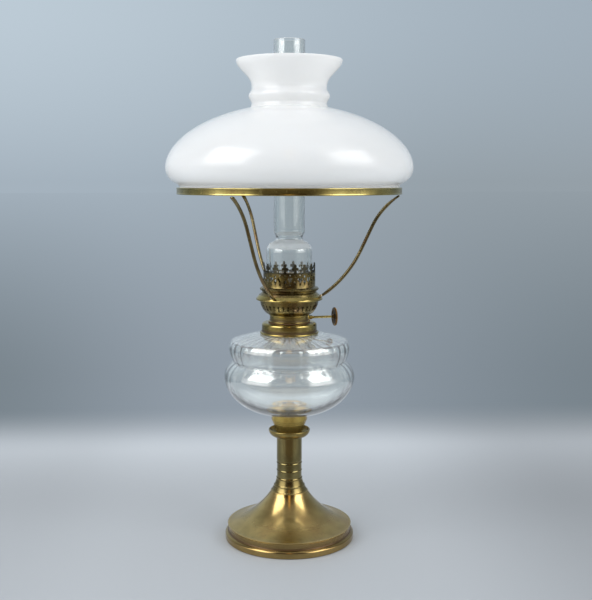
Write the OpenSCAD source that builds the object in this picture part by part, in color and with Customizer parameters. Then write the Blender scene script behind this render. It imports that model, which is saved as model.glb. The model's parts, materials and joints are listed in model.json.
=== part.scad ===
// Kerosene table lamp: brass foot and column, glass oil font, round-wick burner, chimney, tripod and opal shade.
// Millimetres, +Z up, origin under the middle of the foot. The wick knob points along +X.

/* [Foot and column] */
// Diameter of the foot
foot_d = 139.8; // [124:0.2:160]
// Height of the foot, from the table to the column
foot_h = 66.6; // [56:0.2:80]
// Height of the upright rim at the bottom of the foot
rim_h = 7.6; // [6:0.1:9]
// Height of the ridge above the table
ridge_h = 16.2; // [14.8:0.1:19]
// How far the ridge stands in from the rim
ridge_inset = 2.8; // [2.2:0.1:4.4]
// Sheet thickness of the foot
foot_wall = 1.4; // [1:0.1:2]
// Diameter of the column
column_d = 27.3; // [25:0.1:31]
// Length of the column
column_len = 44.8; // [30:0.2:70]
// Wall of the column tube
column_wall = 1.3; // [1:0.1:1.8]
// Diameter of the dish on the column
dish_d = 44.8; // [41:0.2:52]
// Height of the dish
dish_h = 8.5; // [7:0.1:11]

/* [Font] */
// Diameter of the ferrule under the font
ferrule_d = 38.6; // [36:0.2:41]
// Height of the ferrule
ferrule_h = 23.6; // [21:0.2:30]
// Largest diameter of the lower bulge
font_d = 139.8; // [128:0.2:156]
// Diameter of the sharp waist
waist_d = 119; // [112:0.2:122]
// Largest diameter of the upper bulge
shoulder_d = 129.6; // [125:0.2:146]
// Height of the bowl below its largest diameter
belly_h = 40; // [32:0.2:48]
// Height from the largest diameter to the waist
waist_rise = 16.6; // [12:0.2:20]
// Height from the waist to the widest part of the upper bulge
shoulder_rise = 14.2; // [13:0.2:22]
// Height from there to the foot of the neck
crown_rise = 15.4; // [13:0.2:19]
// Wall of the font
font_wall = 3.2; // [2.4:0.1:4]
// Thickness of the floor of the font
font_floor = 5.5; // [4:0.1:8]

/* [Collar and burner] */
// Diameter of the collar band
collar_d = 58.5; // [57.6:0.1:64]
// Height of the collar
collar_h = 12.2; // [11:0.1:15]
// Diameter of the threaded hole in the collar
thread_d = 40.4; // [40:0.1:41.6]
// Gap between the thread of the burner and its hole
thread_clear = 0.25; // [0.15:0.05:0.35]
// Diameter of the burner neck
neck_d = 42.6; // [42:0.1:44]
// Height of the burner neck
neck_h = 6.8; // [6.6:0.1:9]
// Diameter of the air basket
basket_d = 62.6; // [61:0.2:64]
// Height of the air basket
basket_h = 15.8; // [14:0.2:20]
// Number of slots round the air basket
basket_slots = 36; // [24:1:40]
// Outer diameter of the wick tube
wick_tube_d = 27; // [26.4:0.1:27.4]
// Thickness of the wick
wick_t = 2.4; // [2:0.1:2.6]
// Height of the wick tube above the ledge of the gallery
wick_tube_rise = 14.3; // [10:0.1:20]

/* [Gallery and chimney] */
// Diameter of the gallery band
gallery_d = 55.2; // [54.4:0.1:56.4]
// Height of the band above the chimney ledge
band_h = 18.3; // [16:0.1:24]
// Number of finials round the gallery
finials = 16; // [14:1:17]
// Height of a finial above the band
finial_h = 8.8; // [7:0.1:11]
// Largest diameter of the chimney
chimney_d = 48.9; // [47:0.1:49.4]
// Diameter of the upper tube of the chimney
chimney_tube_d = 33; // [31:0.1:36]
// Diameter of the narrowed neck of the chimney
chimney_neck_d = 28; // [26:0.1:30]
// Height of the chimney
chimney_h = 257.3; // [240:0.5:290]
// Height of the chimney below its shoulder
chimney_bulb_h = 38.8; // [30:0.1:44]
// Wall of the chimney
chimney_wall = 1.9; // [1.5:0.1:2.2]

/* [Tripod and shade] */
// Diameter of the shade ring
ring_d = 236; // [228:0.5:244]
// Height of the shade ring
ring_h = 7.2; // [6:0.1:8.2]
// Diameter of an arm
arm_d = 3.6; // [3:0.1:4.2]
// Height of the ring above the foot of the tripod
arm_rise = 109.8; // [104:0.2:116]
// Radius of the lower bend of an arm
arm_bend = 120; // [115:1:135]
// How far the shade bulges past the ring
shade_overhang = 11; // [8:0.2:14]
// Height from the lower edge of the shade to its widest part
roll_h = 26.8; // [24:0.2:30]
// Height of the dome of the shade
dome_h = 61.8; // [52:0.2:74]
// Height of the neck and the flared top together
shade_crown_h = 48.5; // [44:0.5:56]
// Diameter of the neck of the shade
shade_neck_d = 78.2; // [72:0.2:86]
// How far the top flares past the neck
shade_flare = 16; // [12:0.2:20]
// Wall of the shade
shade_wall = 3.2; // [2.6:0.1:3.8]

/* [Wick raiser] */
// Diameter of the spindle
spindle_d = 2.6; // [2.2:0.1:2.8]
// Diameter of the knob
knob_d = 20; // [14:0.5:21]
// Distance from the axis of the lamp to the knob
knob_reach = 50.1; // [44:0.1:58]
// Number of notches round the knob
knob_notches = 40; // [24:1:48]
// Number of teeth on the pinion
pinion_teeth = 10; // [10:1:11]
// Tooth size of pinion and rack
tooth_module = 0.8; // [0.76:0.01:0.82]
// How far the wick can be lowered from its place
wick_down = 4; // [2:0.5:4]
// How far the wick can be raised from its place
wick_up = 8; // [4:0.5:8]

/* [Hidden] */
$fn = 96;

// Colours
brass = [0.62, 0.50, 0.26];
dark_brass = [0.42, 0.32, 0.17];
steel = [0.62, 0.63, 0.65];
iron = [0.20, 0.20, 0.21];
plaster = [0.86, 0.82, 0.72];
leather = [0.35, 0.24, 0.16];
cotton = [0.90, 0.87, 0.78];
clear_glass = [0.86, 0.92, 0.90, 0.35];
opal_glass = [0.96, 0.95, 0.92];

// Small gaps: between pieces that are set in place, and between pieces that slide
set_gap = 0.05;
seat_gap = 0.3;
run_gap = 0.06;

// Radii that several pieces share
foot_r = foot_d / 2;
ridge_r = foot_r - ridge_inset;
column_r = column_d / 2;
dish_r = dish_d / 2;
ferrule_r = ferrule_d / 2;
font_r = font_d / 2;
waist_r = waist_d / 2;
shoulder_r = shoulder_d / 2;
collar_r = collar_d / 2;
thread_r = thread_d / 2;
plug_r = thread_r - thread_clear;
neck_r = neck_d / 2;
basket_r = basket_d / 2;
gallery_r = gallery_d / 2;
chimney_r = chimney_d / 2;
ring_r = ring_d / 2;
shade_r = ring_r + shade_overhang;
shade_neck_r = shade_neck_d / 2;
spindle_r = spindle_d / 2;
arm_r = arm_d / 2;

// Heights, each worked out from the one below it
column_z = foot_h;
dish_z = column_z + column_len;
dish_floor = 2;
ferrule_z = dish_z + dish_floor;
font_z = ferrule_z + ferrule_h + 1;
belly_z = font_z + belly_h;
waist_z = belly_z + waist_rise;
shoulder_z = waist_z + shoulder_rise;
crown_z = shoulder_z + crown_rise;
collar_z = crown_z + 0.2;
collar_top = collar_z + collar_h;
seal_t = 0.8;
flange_z = collar_top + seal_t;
flange_t = 0.8;
neck_z = flange_z + flange_t;
neck_top = neck_z + neck_h;
basket_top = neck_top + basket_h;
deck_t = 1.2;
deck_top = basket_top + deck_t;
ledge_z = deck_top + 10;
ledge_t = 0.7;
ledge_top = ledge_z + ledge_t;
band_top = ledge_top + band_h;
ring_z = deck_top + arm_rise;
ring_ledge_t = 0.9;
shade_z = ring_z + ring_ledge_t;
spindle_z = neck_z + 2.4;

// Foot: rim, weight and tie rod
rim_round = 2;
rim_inner_r = foot_r - 4.5;
cover_z = 1.6;
cover_t = 1;
weight_z = cover_z + cover_t;
weight_r = rim_inner_r - 2.4;
weight_h = 26;
nut_recess_r = 12;
nut_recess_h = 9.4;
washer_t = 1.4;
nut_t = 6.4;
nut_r = 7.5;
tie_r = 3.9;
tie_hole_r = 4.1;
trumpet_curve = 0.7;
bead_r = 0.7;

// Ferrule: foot, ring steps, top band and cup
ferrule_top = ferrule_z + ferrule_h;
ferrule_taper = 6.1;
ferrule_edge = 0.6;
ferrule_step = 0.85;
ferrule_step_h = 2.1;
ferrule_band_h = 7.4;
ferrule_wall = 1.4;
ferrule_cup_h = 6;
ferrule_floor_t = 5.2;
cement_gap = 0.15;
cement_top = ferrule_top - 1.4;

// Font: peg, neck, and the shoulder that ends at the edge of a low dome
peg_r = 10.5;
peg_z = ferrule_z + 8.1;
peg_flare_r = peg_r + 2;
peg_flare_z = ferrule_top - 3;
peg_top_r = peg_r + 4.5;
peg_top_z = font_z - 0.7;
bowl_r = 20;
bowl_curve = 1.85;
belly_tilt = 57;
belly_round = (font_r - waist_r) / (1 - cos(belly_tilt));
belly_reach = waist_rise / sin(belly_tilt);
shoulder_round = 0.91 * crown_rise;
shoulder_tilt = 32;
crown_dome_h = 0.446 * crown_rise;
crown_edge_r = shoulder_r - 0.19 * crown_rise;
dome_curve = 1.6;
glass_neck_r = collar_r - 3.2;
glass_neck_top = collar_top - 3.2;
collar_wall = 1;
neck_cement_rise = 3;
neck_cement_drop = 1;
sleeve_wall = 1.1;

// Burner: sheet, tubes and wick
sheet = 0.8;
thin = 0.5;
plug_z = collar_z - 3.4;
wick_tube_r = wick_tube_d / 2;
wick_tube_top = ledge_top + wick_tube_rise;
wick_r = wick_tube_r - thin - 0.6;
carrier_t = 0.4;
draft_r = wick_r - wick_t - 0.3;
duct_w = 10;
duct_h = 9;
duct_z = neck_top + 2;
wick_gap_w = duct_w + 2.4;

// Gallery: neck, bead and springs
band_t = 0.6;
gallery_neck_r = gallery_r + 1;
gallery_bead_r = gallery_r + 3.7;
spring_t = 0.35;
spring_h = 15;
spring_touch_h = 9;
spring_count = 4;
spring_angle = 20;
ledge_inner_r = chimney_r - 4;

// Tripod
tripod_inner_r = gallery_bead_r + 0.5;
tripod_r = tripod_inner_r + 3.6;
tripod_h = 4;
skirt_t = 1;
skirt_h = 1.2;
skirt_gap = 0.2;
gallery_cone_h = 7.2;
deck_r = tripod_r - skirt_t - skirt_gap;
arm_angles = [-13, 105, 229];
arm_pad_r = 3;
arm_pad_t = 1.3;
rivet_r = 1.5;
ring_wall = 0.9;
shade_fit = 1.9;
shade_lip_r = ring_r - ring_wall - shade_fit;
ring_inner_r = shade_lip_r - shade_wall - 3;

// Wick raiser
pinion_x = 14.6;
pinion_w = 2.2;
pitch_r = tooth_module * pinion_teeth / 2;
tooth_pitch = PI * tooth_module;
pressure_angle = 25;
tooth_slack = 0.12;
rack_below = 5;
rack_above = 4;
rack_root = 1.1 * tooth_module;
rack_back = 1.9;
bush_r = 2.2;
bush_len = 5.2;
knob_t = 2.2;
hub_r = 2.6;
hub_len = 4.4;

// Points on a quarter of an ellipse (curve 2), squarer above 2 and flatter below it
function quarter(cr, cz, a, b, curve, from, to, steps) =
    [for (i = [0:steps])
        let (t = from + (to - from) * i / steps)
        [cr + a * sign(cos(t)) * pow(abs(cos(t)), 2 / curve),
         cz + b * sign(sin(t)) * pow(abs(sin(t)), 2 / curve)]];

// Hollow curve of the foot, from the ridge up to the column
function trumpet(shift) =
    [for (p = quarter(column_r, ridge_h, ridge_r - column_r, foot_h - ridge_h, trumpet_curve, 0, 90, 18))
        [p[0] - shift, p[1] - shift]];

function trumpet_r(z) =
    let (rise = (z - ridge_h) / (foot_h - ridge_h))
    column_r + (ridge_r - column_r) * pow(1 - pow(rise, trumpet_curve), 1 / trumpet_curve);

function reversed(points) = [for (i = [len(points) - 1:-1:0]) points[i]];

module lathe(points) rotate_extrude() polygon(points);

module ring(outer_r, inner_r, z, h) {
    difference() {
        translate([0, 0, z]) cylinder(r = outer_r, h = h);
        translate([0, 0, z - 1]) cylinder(r = inner_r, h = h + 2);
    }
}

module bead(r, z) translate([0, 0, z]) rotate_extrude() translate([r, 0]) circle(r = bead_r);

// Cylinder along X, from x to x + len
module along_x(r, x, len) translate([x, 0, spindle_z]) rotate([0, 90, 0]) cylinder(r = r, h = len);

// Foot and column

module foot_shell() {
    outer = concat(
        [[foot_r - 0.8, 0], [foot_r, 0.8]],
        quarter(foot_r - rim_round, rim_h - rim_round, rim_round, rim_round, 2, 0, 90, 4),
        [[ridge_r - 0.6, rim_h + 1.2], [ridge_r - 0.6, ridge_h - 1.6], [ridge_r, ridge_h - 0.6]],
        trumpet(0));
    inner = concat(
        [[column_r - foot_wall, foot_h]],
        reversed(trumpet(foot_wall)),
        [[rim_inner_r, ridge_h - foot_wall - 0.4], [rim_inner_r, 0]]);
    color(brass) union() {
        lathe(concat(outer, inner));
        for (z = [foot_h - bead_r, foot_h - 8.6, foot_h - 14.6]) bead(trumpet_r(z) - bead_r / 2, z);
    }
}

module foot_weight() {
    recess_top = weight_z + nut_recess_h;
    color(iron) lathe([
        [nut_recess_r, weight_z], [weight_r, weight_z], [weight_r, ridge_h - foot_wall - seat_gap],
        [column_r + 4, weight_z + weight_h], [tie_hole_r, weight_z + weight_h],
        [tie_hole_r, recess_top], [nut_recess_r, recess_top]]);
}

module foot_cover() color(steel) translate([0, 0, cover_z]) cylinder(r = rim_inner_r - seat_gap, h = cover_t);

module tie_rod() {
    bottom = weight_z + 0.6;
    color(steel) translate([0, 0, bottom]) cylinder(r = tie_r, h = ferrule_z + 4.6 - bottom);
}

module tie_washer()
    color(steel) ring(nut_recess_r - 1.5, tie_hole_r, weight_z + nut_recess_h - washer_t, washer_t);

module tie_nut() {
    nut_z = weight_z + nut_recess_h - washer_t - nut_t;
    color(steel) difference() {
        translate([0, 0, nut_z]) cylinder(r = nut_r, h = nut_t, $fn = 6);
        translate([0, 0, nut_z - 1]) cylinder(r = tie_hole_r, h = nut_t + 2);
    }
}

module column_sleeve() {
    sleeve_r = column_r - max(column_wall, foot_wall) - 2 * set_gap;
    color(brass) ring(sleeve_r, sleeve_r - 1.2, column_z - 9, 18);
}

module column_tube() {
    turned = 0.3;
    turned_len = 18.4;
    color(brass) union() {
        lathe([
            [column_r - column_wall, column_z], [column_r - turned, column_z],
            [column_r - turned, column_z + turned_len], [column_r, column_z + turned_len + 0.8],
            [column_r, dish_z], [column_r - column_wall, dish_z]]);
        for (rise = [7.9, 16.1]) bead(column_r - bead_r, column_z + rise);
    }
}

module column_dish() {
    lip = 0.6;
    top = dish_z + dish_h;
    start_r = column_r + 1;
    inside_r = start_r + 0.4;
    color(brass) lathe(concat(
        [[tie_hole_r, dish_z]],
        quarter(start_r, top - lip, dish_r - start_r, dish_h - lip, 1.8, 270, 360, 8),
        [[dish_r - 0.3, top], [dish_r - 1.1, top]],
        quarter(inside_r, top, dish_r - 1.4 - inside_r, dish_h - dish_floor, 1.8, 360, 270, 8),
        [[tie_hole_r, ferrule_z]]));
}

// Font

module peg_ferrule() {
    floor_z = ferrule_z + ferrule_floor_t;
    color(brass) lathe([
        [tie_hole_r, ferrule_z], [ferrule_r - ferrule_taper - ferrule_edge, ferrule_z],
        [ferrule_r - ferrule_taper, ferrule_z + ferrule_edge],
        for (i = [2, 1, 0])
            let (z = ferrule_top - ferrule_band_h - i * ferrule_step_h)
            each [[ferrule_r - (i + 1) * ferrule_step, z], [ferrule_r - i * ferrule_step, z + ferrule_edge]],
        [ferrule_r, ferrule_top - ferrule_edge], [ferrule_r - ferrule_edge, ferrule_top],
        [ferrule_r - ferrule_wall, ferrule_top], [ferrule_r - 2 * ferrule_step, ferrule_top - ferrule_cup_h],
        [ferrule_r - ferrule_taper - ferrule_wall, floor_z], [tie_hole_r, floor_z]]);
}

module peg_cement() {
    bottom = ferrule_z + ferrule_floor_t + set_gap;
    throat_r = lookup(cement_top, [[peg_flare_z, peg_flare_r], [peg_top_z, peg_top_r]]);
    color(plaster) lathe([
        [0, bottom], [ferrule_r - ferrule_taper - ferrule_wall - cement_gap, bottom],
        [ferrule_r - 2 * ferrule_step - cement_gap, ferrule_top - ferrule_cup_h],
        [ferrule_r - 2 * ferrule_step, cement_top], [throat_r + cement_gap, cement_top],
        [peg_flare_r + cement_gap, peg_flare_z], [peg_r + cement_gap, peg_z - set_gap], [0, peg_z - set_gap]]);
}

// Dome of the font at a radius, from its edge to the foot of the neck
function crown_at(r) =
    crown_z - crown_dome_h * pow((r - glass_neck_r) / (crown_edge_r - glass_neck_r), dome_curve);

module font() {
    top_ledge = crown_z - font_wall;
    dome_start = glass_neck_r + 1.6;
    dome_steps = 8;
    shoulder_centre = shoulder_r - shoulder_round;
    inner_neck_r = glass_neck_r - font_wall;
    outer = concat(
        [[0, peg_z], [peg_r, peg_z], [peg_flare_r, peg_flare_z], [peg_top_r, peg_top_z]],
        quarter(bowl_r, belly_z, font_r - bowl_r, belly_h, bowl_curve, 270, 360, 20),
        quarter(font_r - belly_round, belly_z, belly_round, belly_reach, 2, 6, belly_tilt, 12),
        quarter(waist_r, shoulder_z, shoulder_r - waist_r, shoulder_rise, 1.5, 276, 360, 10),
        quarter(shoulder_centre, shoulder_z, shoulder_round, shoulder_round, 2, 4, shoulder_tilt, 8),
        [for (i = [dome_steps:-1:0])
            let (r = dome_start + (crown_edge_r - dome_start) * i / dome_steps)
            [r, crown_at(r)]],
        [[glass_neck_r, crown_z + 1.6], [glass_neck_r, glass_neck_top]]);
    inner = concat(
        [[inner_neck_r, glass_neck_top], [inner_neck_r, top_ledge + 1.6], [inner_neck_r + 1.6, top_ledge]],
        [for (i = [0:dome_steps])
            let (r = dome_start + (crown_edge_r - font_wall - dome_start) * i / dome_steps)
            [r, crown_at(r) - font_wall]],
        quarter(shoulder_centre, shoulder_z, shoulder_round - font_wall, shoulder_round - font_wall, 2,
            shoulder_tilt, 0, 8),
        quarter(waist_r - font_wall, shoulder_z, shoulder_r - waist_r, shoulder_rise, 1.5, 354, 270, 10),
        quarter(font_r - belly_round - font_wall, belly_z, belly_round, belly_reach, 2, belly_tilt - 4, 0, 12),
        quarter(bowl_r, belly_z, font_r - font_wall - bowl_r, belly_h - font_floor, bowl_curve, 355, 270, 20),
        [[0, font_z + font_floor]]);
    color(clear_glass) lathe(concat(outer, inner));
}

module neck_cement() {
    bottom = collar_z + neck_cement_rise;
    top = glass_neck_top - neck_cement_drop;
    color(plaster) ring(collar_r - collar_wall - set_gap, glass_neck_r + set_gap, bottom, top - bottom);
}

module font_collar() {
    round_r = 5;
    round_h = 3;
    sleeve_r = thread_r + sleeve_wall;
    color(brass) lathe(concat(
        [[collar_r - collar_wall, collar_z], [collar_r + 1.6, collar_z], [collar_r + 2.25, collar_z + 0.7],
         [collar_r + 2.1, collar_z + 1.5], [collar_r + 0.8, collar_z + 2.3], [collar_r, collar_z + 2.8]],
        quarter(collar_r - round_r, collar_top - round_h, round_r, round_h, 2, 0, 90, 8),
        [[thread_r, collar_top], [thread_r, collar_z + 1.4], [sleeve_r, collar_z + 1.4],
         [sleeve_r, collar_top - 1.2], [collar_r - round_r, collar_top - 1.2],
         [collar_r - collar_wall - 1, collar_top - round_h], [collar_r - collar_wall, collar_top - round_h - 1]]));
}

// Burner

module burner_seal() color(leather) ring(neck_r + 1, thread_r + 0.1, collar_top, seal_t);

module burner_base() {
    plug_inner_r = plug_r - 1.05;
    color(brass) difference() {
        lathe([
            [wick_tube_r + 0.2, plug_z], [plug_r, plug_z], [plug_r, flange_z], [neck_r + 1.2, flange_z],
            [neck_r + 1.2, neck_z], [neck_r, neck_z], [neck_r, neck_top], [neck_r - 2.1, neck_top],
            [neck_r - 2.1, neck_top - sheet], [neck_r - sheet, neck_top - sheet], [neck_r - sheet, neck_z],
            [plug_inner_r, neck_z], [plug_inner_r, plug_z + 1], [wick_tube_r + 0.2, plug_z + 1]]);
        along_x(bush_r + set_gap, neck_r - 4, 8);
    }
}

// Two round holes joined by a narrow slot
module basket_slot() {
    for (y = [-1.9, 1.9]) translate([0, y]) circle(r = 1.05, $fn = 24);
    square([0.9, 3.8], center = true);
}

module air_basket() {
    depth = basket_r - neck_r;
    color(brass) difference() {
        lathe(concat(
            quarter(neck_r, basket_top, depth, basket_h, 1.7, 270, 360, 12),
            quarter(neck_r, basket_top, depth - sheet, basket_h - sheet, 1.7, 360, 270, 12),
            [[neck_r - 2, neck_top + sheet], [neck_r - 2, neck_top]]));
        for (i = [0:basket_slots - 1])
            rotate([0, 0, (i + 0.5) * 360 / basket_slots])
                translate([basket_r - 2, 0, basket_top - 7.4])
                    rotate([0, 30, 0]) rotate([90, 0, 90])
                        linear_extrude(height = 8, center = true) basket_slot();
    }
}

module deck_ring() color(brass) ring(deck_r, chimney_r, basket_top, deck_t);

// Window of the air duct, grown by a gap
module duct_window(gap) {
    translate([-wick_tube_r - 6, -duct_w / 2 - gap, duct_z - gap])
        cube([wick_tube_r + 6, duct_w + 2 * gap, duct_h + 2 * gap]);
}

module rack_slot() {
    translate([wick_tube_r - 5, -pitch_r - tooth_module - rack_back - 0.5, spindle_z - 2.6 - wick_down - 0.4])
        cube([6, rack_back + 1, 10 + wick_down + wick_up + 0.8]);
}

module wick_tube() {
    color(brass) difference() {
        ring(wick_tube_r, wick_tube_r - thin, plug_z - 0.4, wick_tube_top - plug_z + 0.4);
        duct_window(set_gap);
        rack_slot();
    }
}

module draft_tube() {
    bottom = plug_z + 5;
    color(brass) difference() {
        translate([0, 0, bottom]) cylinder(r = draft_r, h = wick_tube_top - bottom);
        translate([0, 0, bottom + 1]) cylinder(r = draft_r - thin, h = wick_tube_top);
        duct_window(set_gap);
    }
}

module air_duct() {
    inner_x = draft_r - 1.6;
    len = wick_tube_r + 0.6 - inner_x;
    color(brass) difference() {
        translate([-inner_x - len, -duct_w / 2, duct_z]) cube([len, duct_w, duct_h]);
        translate([-inner_x - len - 1, -duct_w / 2 + thin, duct_z + thin])
            cube([len + 2, duct_w - 2 * thin, duct_h - 2 * thin]);
    }
}

module spindle_bush() {
    color(brass) difference() {
        along_x(bush_r, neck_r - 1.5, bush_len);
        along_x(spindle_r + run_gap, neck_r - 2.5, bush_len + 2);
    }
}

// Heart, drop and round hole of one cell of the gallery band
module gallery_piercing() {
    for (x = [-1.3, 1.3]) translate([x, 9.6]) circle(r = 1.5, $fn = 24);
    polygon([[-2.6, 8.9], [0, 5.4], [2.6, 8.9], [0, 10]]);
    translate([0, 13.6]) circle(r = 0.9, $fn = 24);
    polygon([[0, 2.6], [-1, 3.8], [0, 5], [1, 3.8]]);
}

// Small hole between two cells
module gallery_dot() {
    translate([0, 12.2]) circle(r = 1.15, $fn = 24);
    polygon([[0, 3], [-1.5, 6.6], [0, 10], [1.5, 6.6]]);
}

module finial() {
    polygon([[-2, -0.5], [2, -0.5], [1.1, 1.4], [1.1, finial_h - 4], [-1.1, finial_h - 4], [-1.1, 1.4]]);
    translate([0, finial_h - 1.5]) circle(r = 1.5, $fn = 24);
    for (x = [-2.1, 2.1]) translate([x, finial_h - 4.6]) circle(r = 1.5, $fn = 24);
    translate([0, finial_h - 3.6]) circle(r = 1.6, $fn = 24);
}

// Places a flat outline upright on the band, cell by cell
module round_band(z, offset_cells) {
    for (i = [0:finials - 1])
        rotate([0, 0, (i + offset_cells) * 360 / finials])
            translate([gallery_r - 2, 0, z]) rotate([90, 0, 90]) linear_extrude(height = 4) children();
}

module gallery() {
    cell_z = ledge_top + 2.4;
    inner_r = gallery_r - band_t;
    color(brass) union() {
        difference() {
            lathe([
                [gallery_neck_r - 0.7, deck_top], [tripod_inner_r - seat_gap, deck_top],
                [tripod_inner_r - seat_gap, deck_top + tripod_h - 0.4],
                [gallery_neck_r + 0.4, deck_top + gallery_cone_h],
                [gallery_neck_r, deck_top + gallery_cone_h + 0.2],
                [gallery_neck_r, ledge_z - 1.8], [gallery_bead_r - 1.1, ledge_z - 1.2],
                [gallery_bead_r, ledge_z - 0.1], [gallery_bead_r, ledge_z + 0.9],
                [gallery_bead_r - 0.9, ledge_z + 1.9],
                [gallery_r + 0.4, ledge_z + 2.6], [gallery_r, ledge_z + 3.2], [gallery_r, band_top],
                [inner_r, band_top], [inner_r, ledge_top], [ledge_inner_r, ledge_top],
                [ledge_inner_r, ledge_z], [gallery_neck_r - 0.7, ledge_z]]);
            round_band(cell_z, 0.5) gallery_piercing();
            round_band(cell_z, 0) gallery_dot();
        }
        intersection() {
            ring(gallery_r, inner_r, band_top - 1, finial_h + 2);
            round_band(band_top, 0) finial();
        }
    }
}

module chimney_springs() {
    contact_r = chimney_r + seat_gap;
    root_r = gallery_r - band_t - spring_t - seat_gap;
    color(brass) for (i = [0:spring_count - 1])
        rotate([0, 0, (i + 0.5) * 360 / spring_count])
            rotate_extrude(angle = spring_angle) polygon([
                [root_r, ledge_top], [root_r + spring_t, ledge_top],
                [contact_r + spring_t, ledge_top + spring_touch_h],
                [root_r + spring_t, ledge_top + spring_h], [root_r, ledge_top + spring_h],
                [contact_r, ledge_top + spring_touch_h]]);
}

// Wick raiser

module wick_spindle() color(dark_brass) along_x(spindle_r, pinion_x - 0.3, knob_reach + hub_len / 2 - pinion_x);

// Half the angle of a pinion tooth on the base circle, and one flank of it
tooth_half = 90 / pinion_teeth - tooth_slack / pitch_r * 90 / PI + tan(pressure_angle) * 180 / PI - pressure_angle;
base_r = pitch_r * cos(pressure_angle);
tip_roll = sqrt(pow((pitch_r + 0.8 * tooth_module) / base_r, 2) - 1);

function flank(side) =
    [for (i = [0:4])
        let (roll = tip_roll * i / 4)
        let (turn = side * (tooth_half - roll * 180 / PI + atan(roll)))
        base_r * sqrt(1 + roll * roll) * [cos(turn), sin(turn)]];

function tooth() =
    let (root_r = pitch_r - 0.95 * tooth_module)
    concat([root_r * [cos(tooth_half), -sin(tooth_half)]], flank(-1), reversed(flank(1)),
        [root_r * [cos(tooth_half), sin(tooth_half)]]);

function turned_point(p, a) = [p[0] * cos(a) - p[1] * sin(a), p[0] * sin(a) + p[1] * cos(a)];

module wick_pinion() {
    outline = [for (i = [0:pinion_teeth - 1]) for (p = tooth()) turned_point(p, 180 + i * 360 / pinion_teeth)];
    color(steel) difference() {
        translate([pinion_x, 0, spindle_z]) rotate([90, 0, 90]) linear_extrude(height = pinion_w) polygon(outline);
        along_x(spindle_r + 0.02, pinion_x - 1, pinion_w + 2);
    }
}

module wick_knob() {
    color(dark_brass) difference() {
        union() {
            along_x(knob_d / 2, knob_reach - knob_t / 2, knob_t);
            along_x(hub_r, knob_reach - hub_len / 2, hub_len);
        }
        along_x(spindle_r + 0.02, knob_reach - hub_len, 2 * hub_len);
        for (i = [0:knob_notches - 1])
            translate([knob_reach, 0, spindle_z]) rotate([i * 360 / knob_notches, 0, 0])
                translate([-knob_t, 0, knob_d / 2 + 0.2])
                    rotate([0, 90, 0]) cylinder(r = 0.6, h = 2 * knob_t, $fn = 16);
    }
}

// Outline of the rack: y across the teeth, z along them, teeth towards +y
module rack_outline() {
    half = (tooth_pitch / 2 - tooth_slack) / 2;
    tip = 0.7 * tooth_module;
    slope = tan(pressure_angle);
    teeth = [for (i = [-rack_below:rack_above - 1])
        let (z = (i + 0.5) * tooth_pitch)
        for (p = [[-rack_root, -half - rack_root * slope], [tip, -half + tip * slope],
                  [tip, half - tip * slope], [-rack_root, half + rack_root * slope]])
        [p[0], z + p[1]]];
    back = -rack_root - rack_back;
    polygon(concat([[back, teeth[0][1]]], teeth, [[back, teeth[len(teeth) - 1][1]]]));
}

module wick_gap(z, h) translate([-wick_tube_r - 1, -wick_gap_w / 2, z]) cube([wick_tube_r + 1, wick_gap_w, h]);

module wick_carrier() {
    sleeve_z = spindle_z - 2.6;
    sleeve_h = 10;
    rack_y = -pitch_r;
    back_y = rack_y - rack_root - rack_back;
    color(brass) union() {
        difference() {
            union() {
                translate([0, 0, sleeve_z]) cylinder(r = wick_r + carrier_t, h = sleeve_h);
                translate([wick_tube_r - 4, back_y, sleeve_z])
                    cube([pinion_x - wick_tube_r + 4.5, rack_back - 0.2, sleeve_h]);
            }
            translate([0, 0, sleeve_z - 1]) cylinder(r = wick_r + set_gap, h = sleeve_h + 2);
            wick_gap(sleeve_z - 1, sleeve_h + 2);
        }
        translate([pinion_x, rack_y, spindle_z])
            rotate([90, 0, 90]) linear_extrude(height = pinion_w) rack_outline();
    }
}

module wick() {
    bottom = plug_z + 1.5;
    gap_top = duct_z + duct_h + wick_down + 0.6;
    color(cotton) difference() {
        ring(wick_r, wick_r - wick_t, bottom, wick_tube_top + 2 - bottom);
        wick_gap(bottom - 1, gap_top - bottom + 1);
    }
}

// Tripod and shade

// Cone with a skirt that hangs over the edge of the deck
function tripod_section(gap) = [
    [tripod_inner_r - gap, deck_top - gap], [tripod_r - skirt_t, deck_top - gap],
    [tripod_r - skirt_t, deck_top - skirt_h], [tripod_r - 0.3 + gap, deck_top - skirt_h],
    [tripod_r + gap, deck_top - skirt_h + 0.3], [tripod_r + gap, deck_top + 0.2],
    [tripod_r - 0.2 + gap, deck_top + 0.6 + gap], [tripod_inner_r + 0.5 + gap, deck_top + tripod_h + gap],
    [tripod_inner_r - gap, deck_top + tripod_h + gap]];

module tripod_collar() color(brass) lathe(tripod_section(0));

// Line of an arm: bend, straight stretch and opposite bend, from the collar to the ring
arm_root_angle = 34;
arm_mid_angle = 65;
arm_end_angle = 32;
arm_root = [tripod_r - 1.4, deck_top + 2.3];
arm_end = [ring_r - 2, ring_z - 1.2];
arm_left_over = arm_end - arm_root - arm_bend
    * [sin(arm_mid_angle) - sin(arm_root_angle), cos(arm_root_angle) - cos(arm_mid_angle)];
bend_share = [sin(arm_mid_angle) - sin(arm_end_angle), cos(arm_end_angle) - cos(arm_mid_angle)];
arm_det = cos(arm_mid_angle) * bend_share[1] - sin(arm_mid_angle) * bend_share[0];
arm_straight = (arm_left_over[0] * bend_share[1] - arm_left_over[1] * bend_share[0]) / arm_det;
arm_top_bend = (cos(arm_mid_angle) * arm_left_over[1] - sin(arm_mid_angle) * arm_left_over[0]) / arm_det;
arm_knee = arm_end - arm_top_bend * bend_share;

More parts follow.
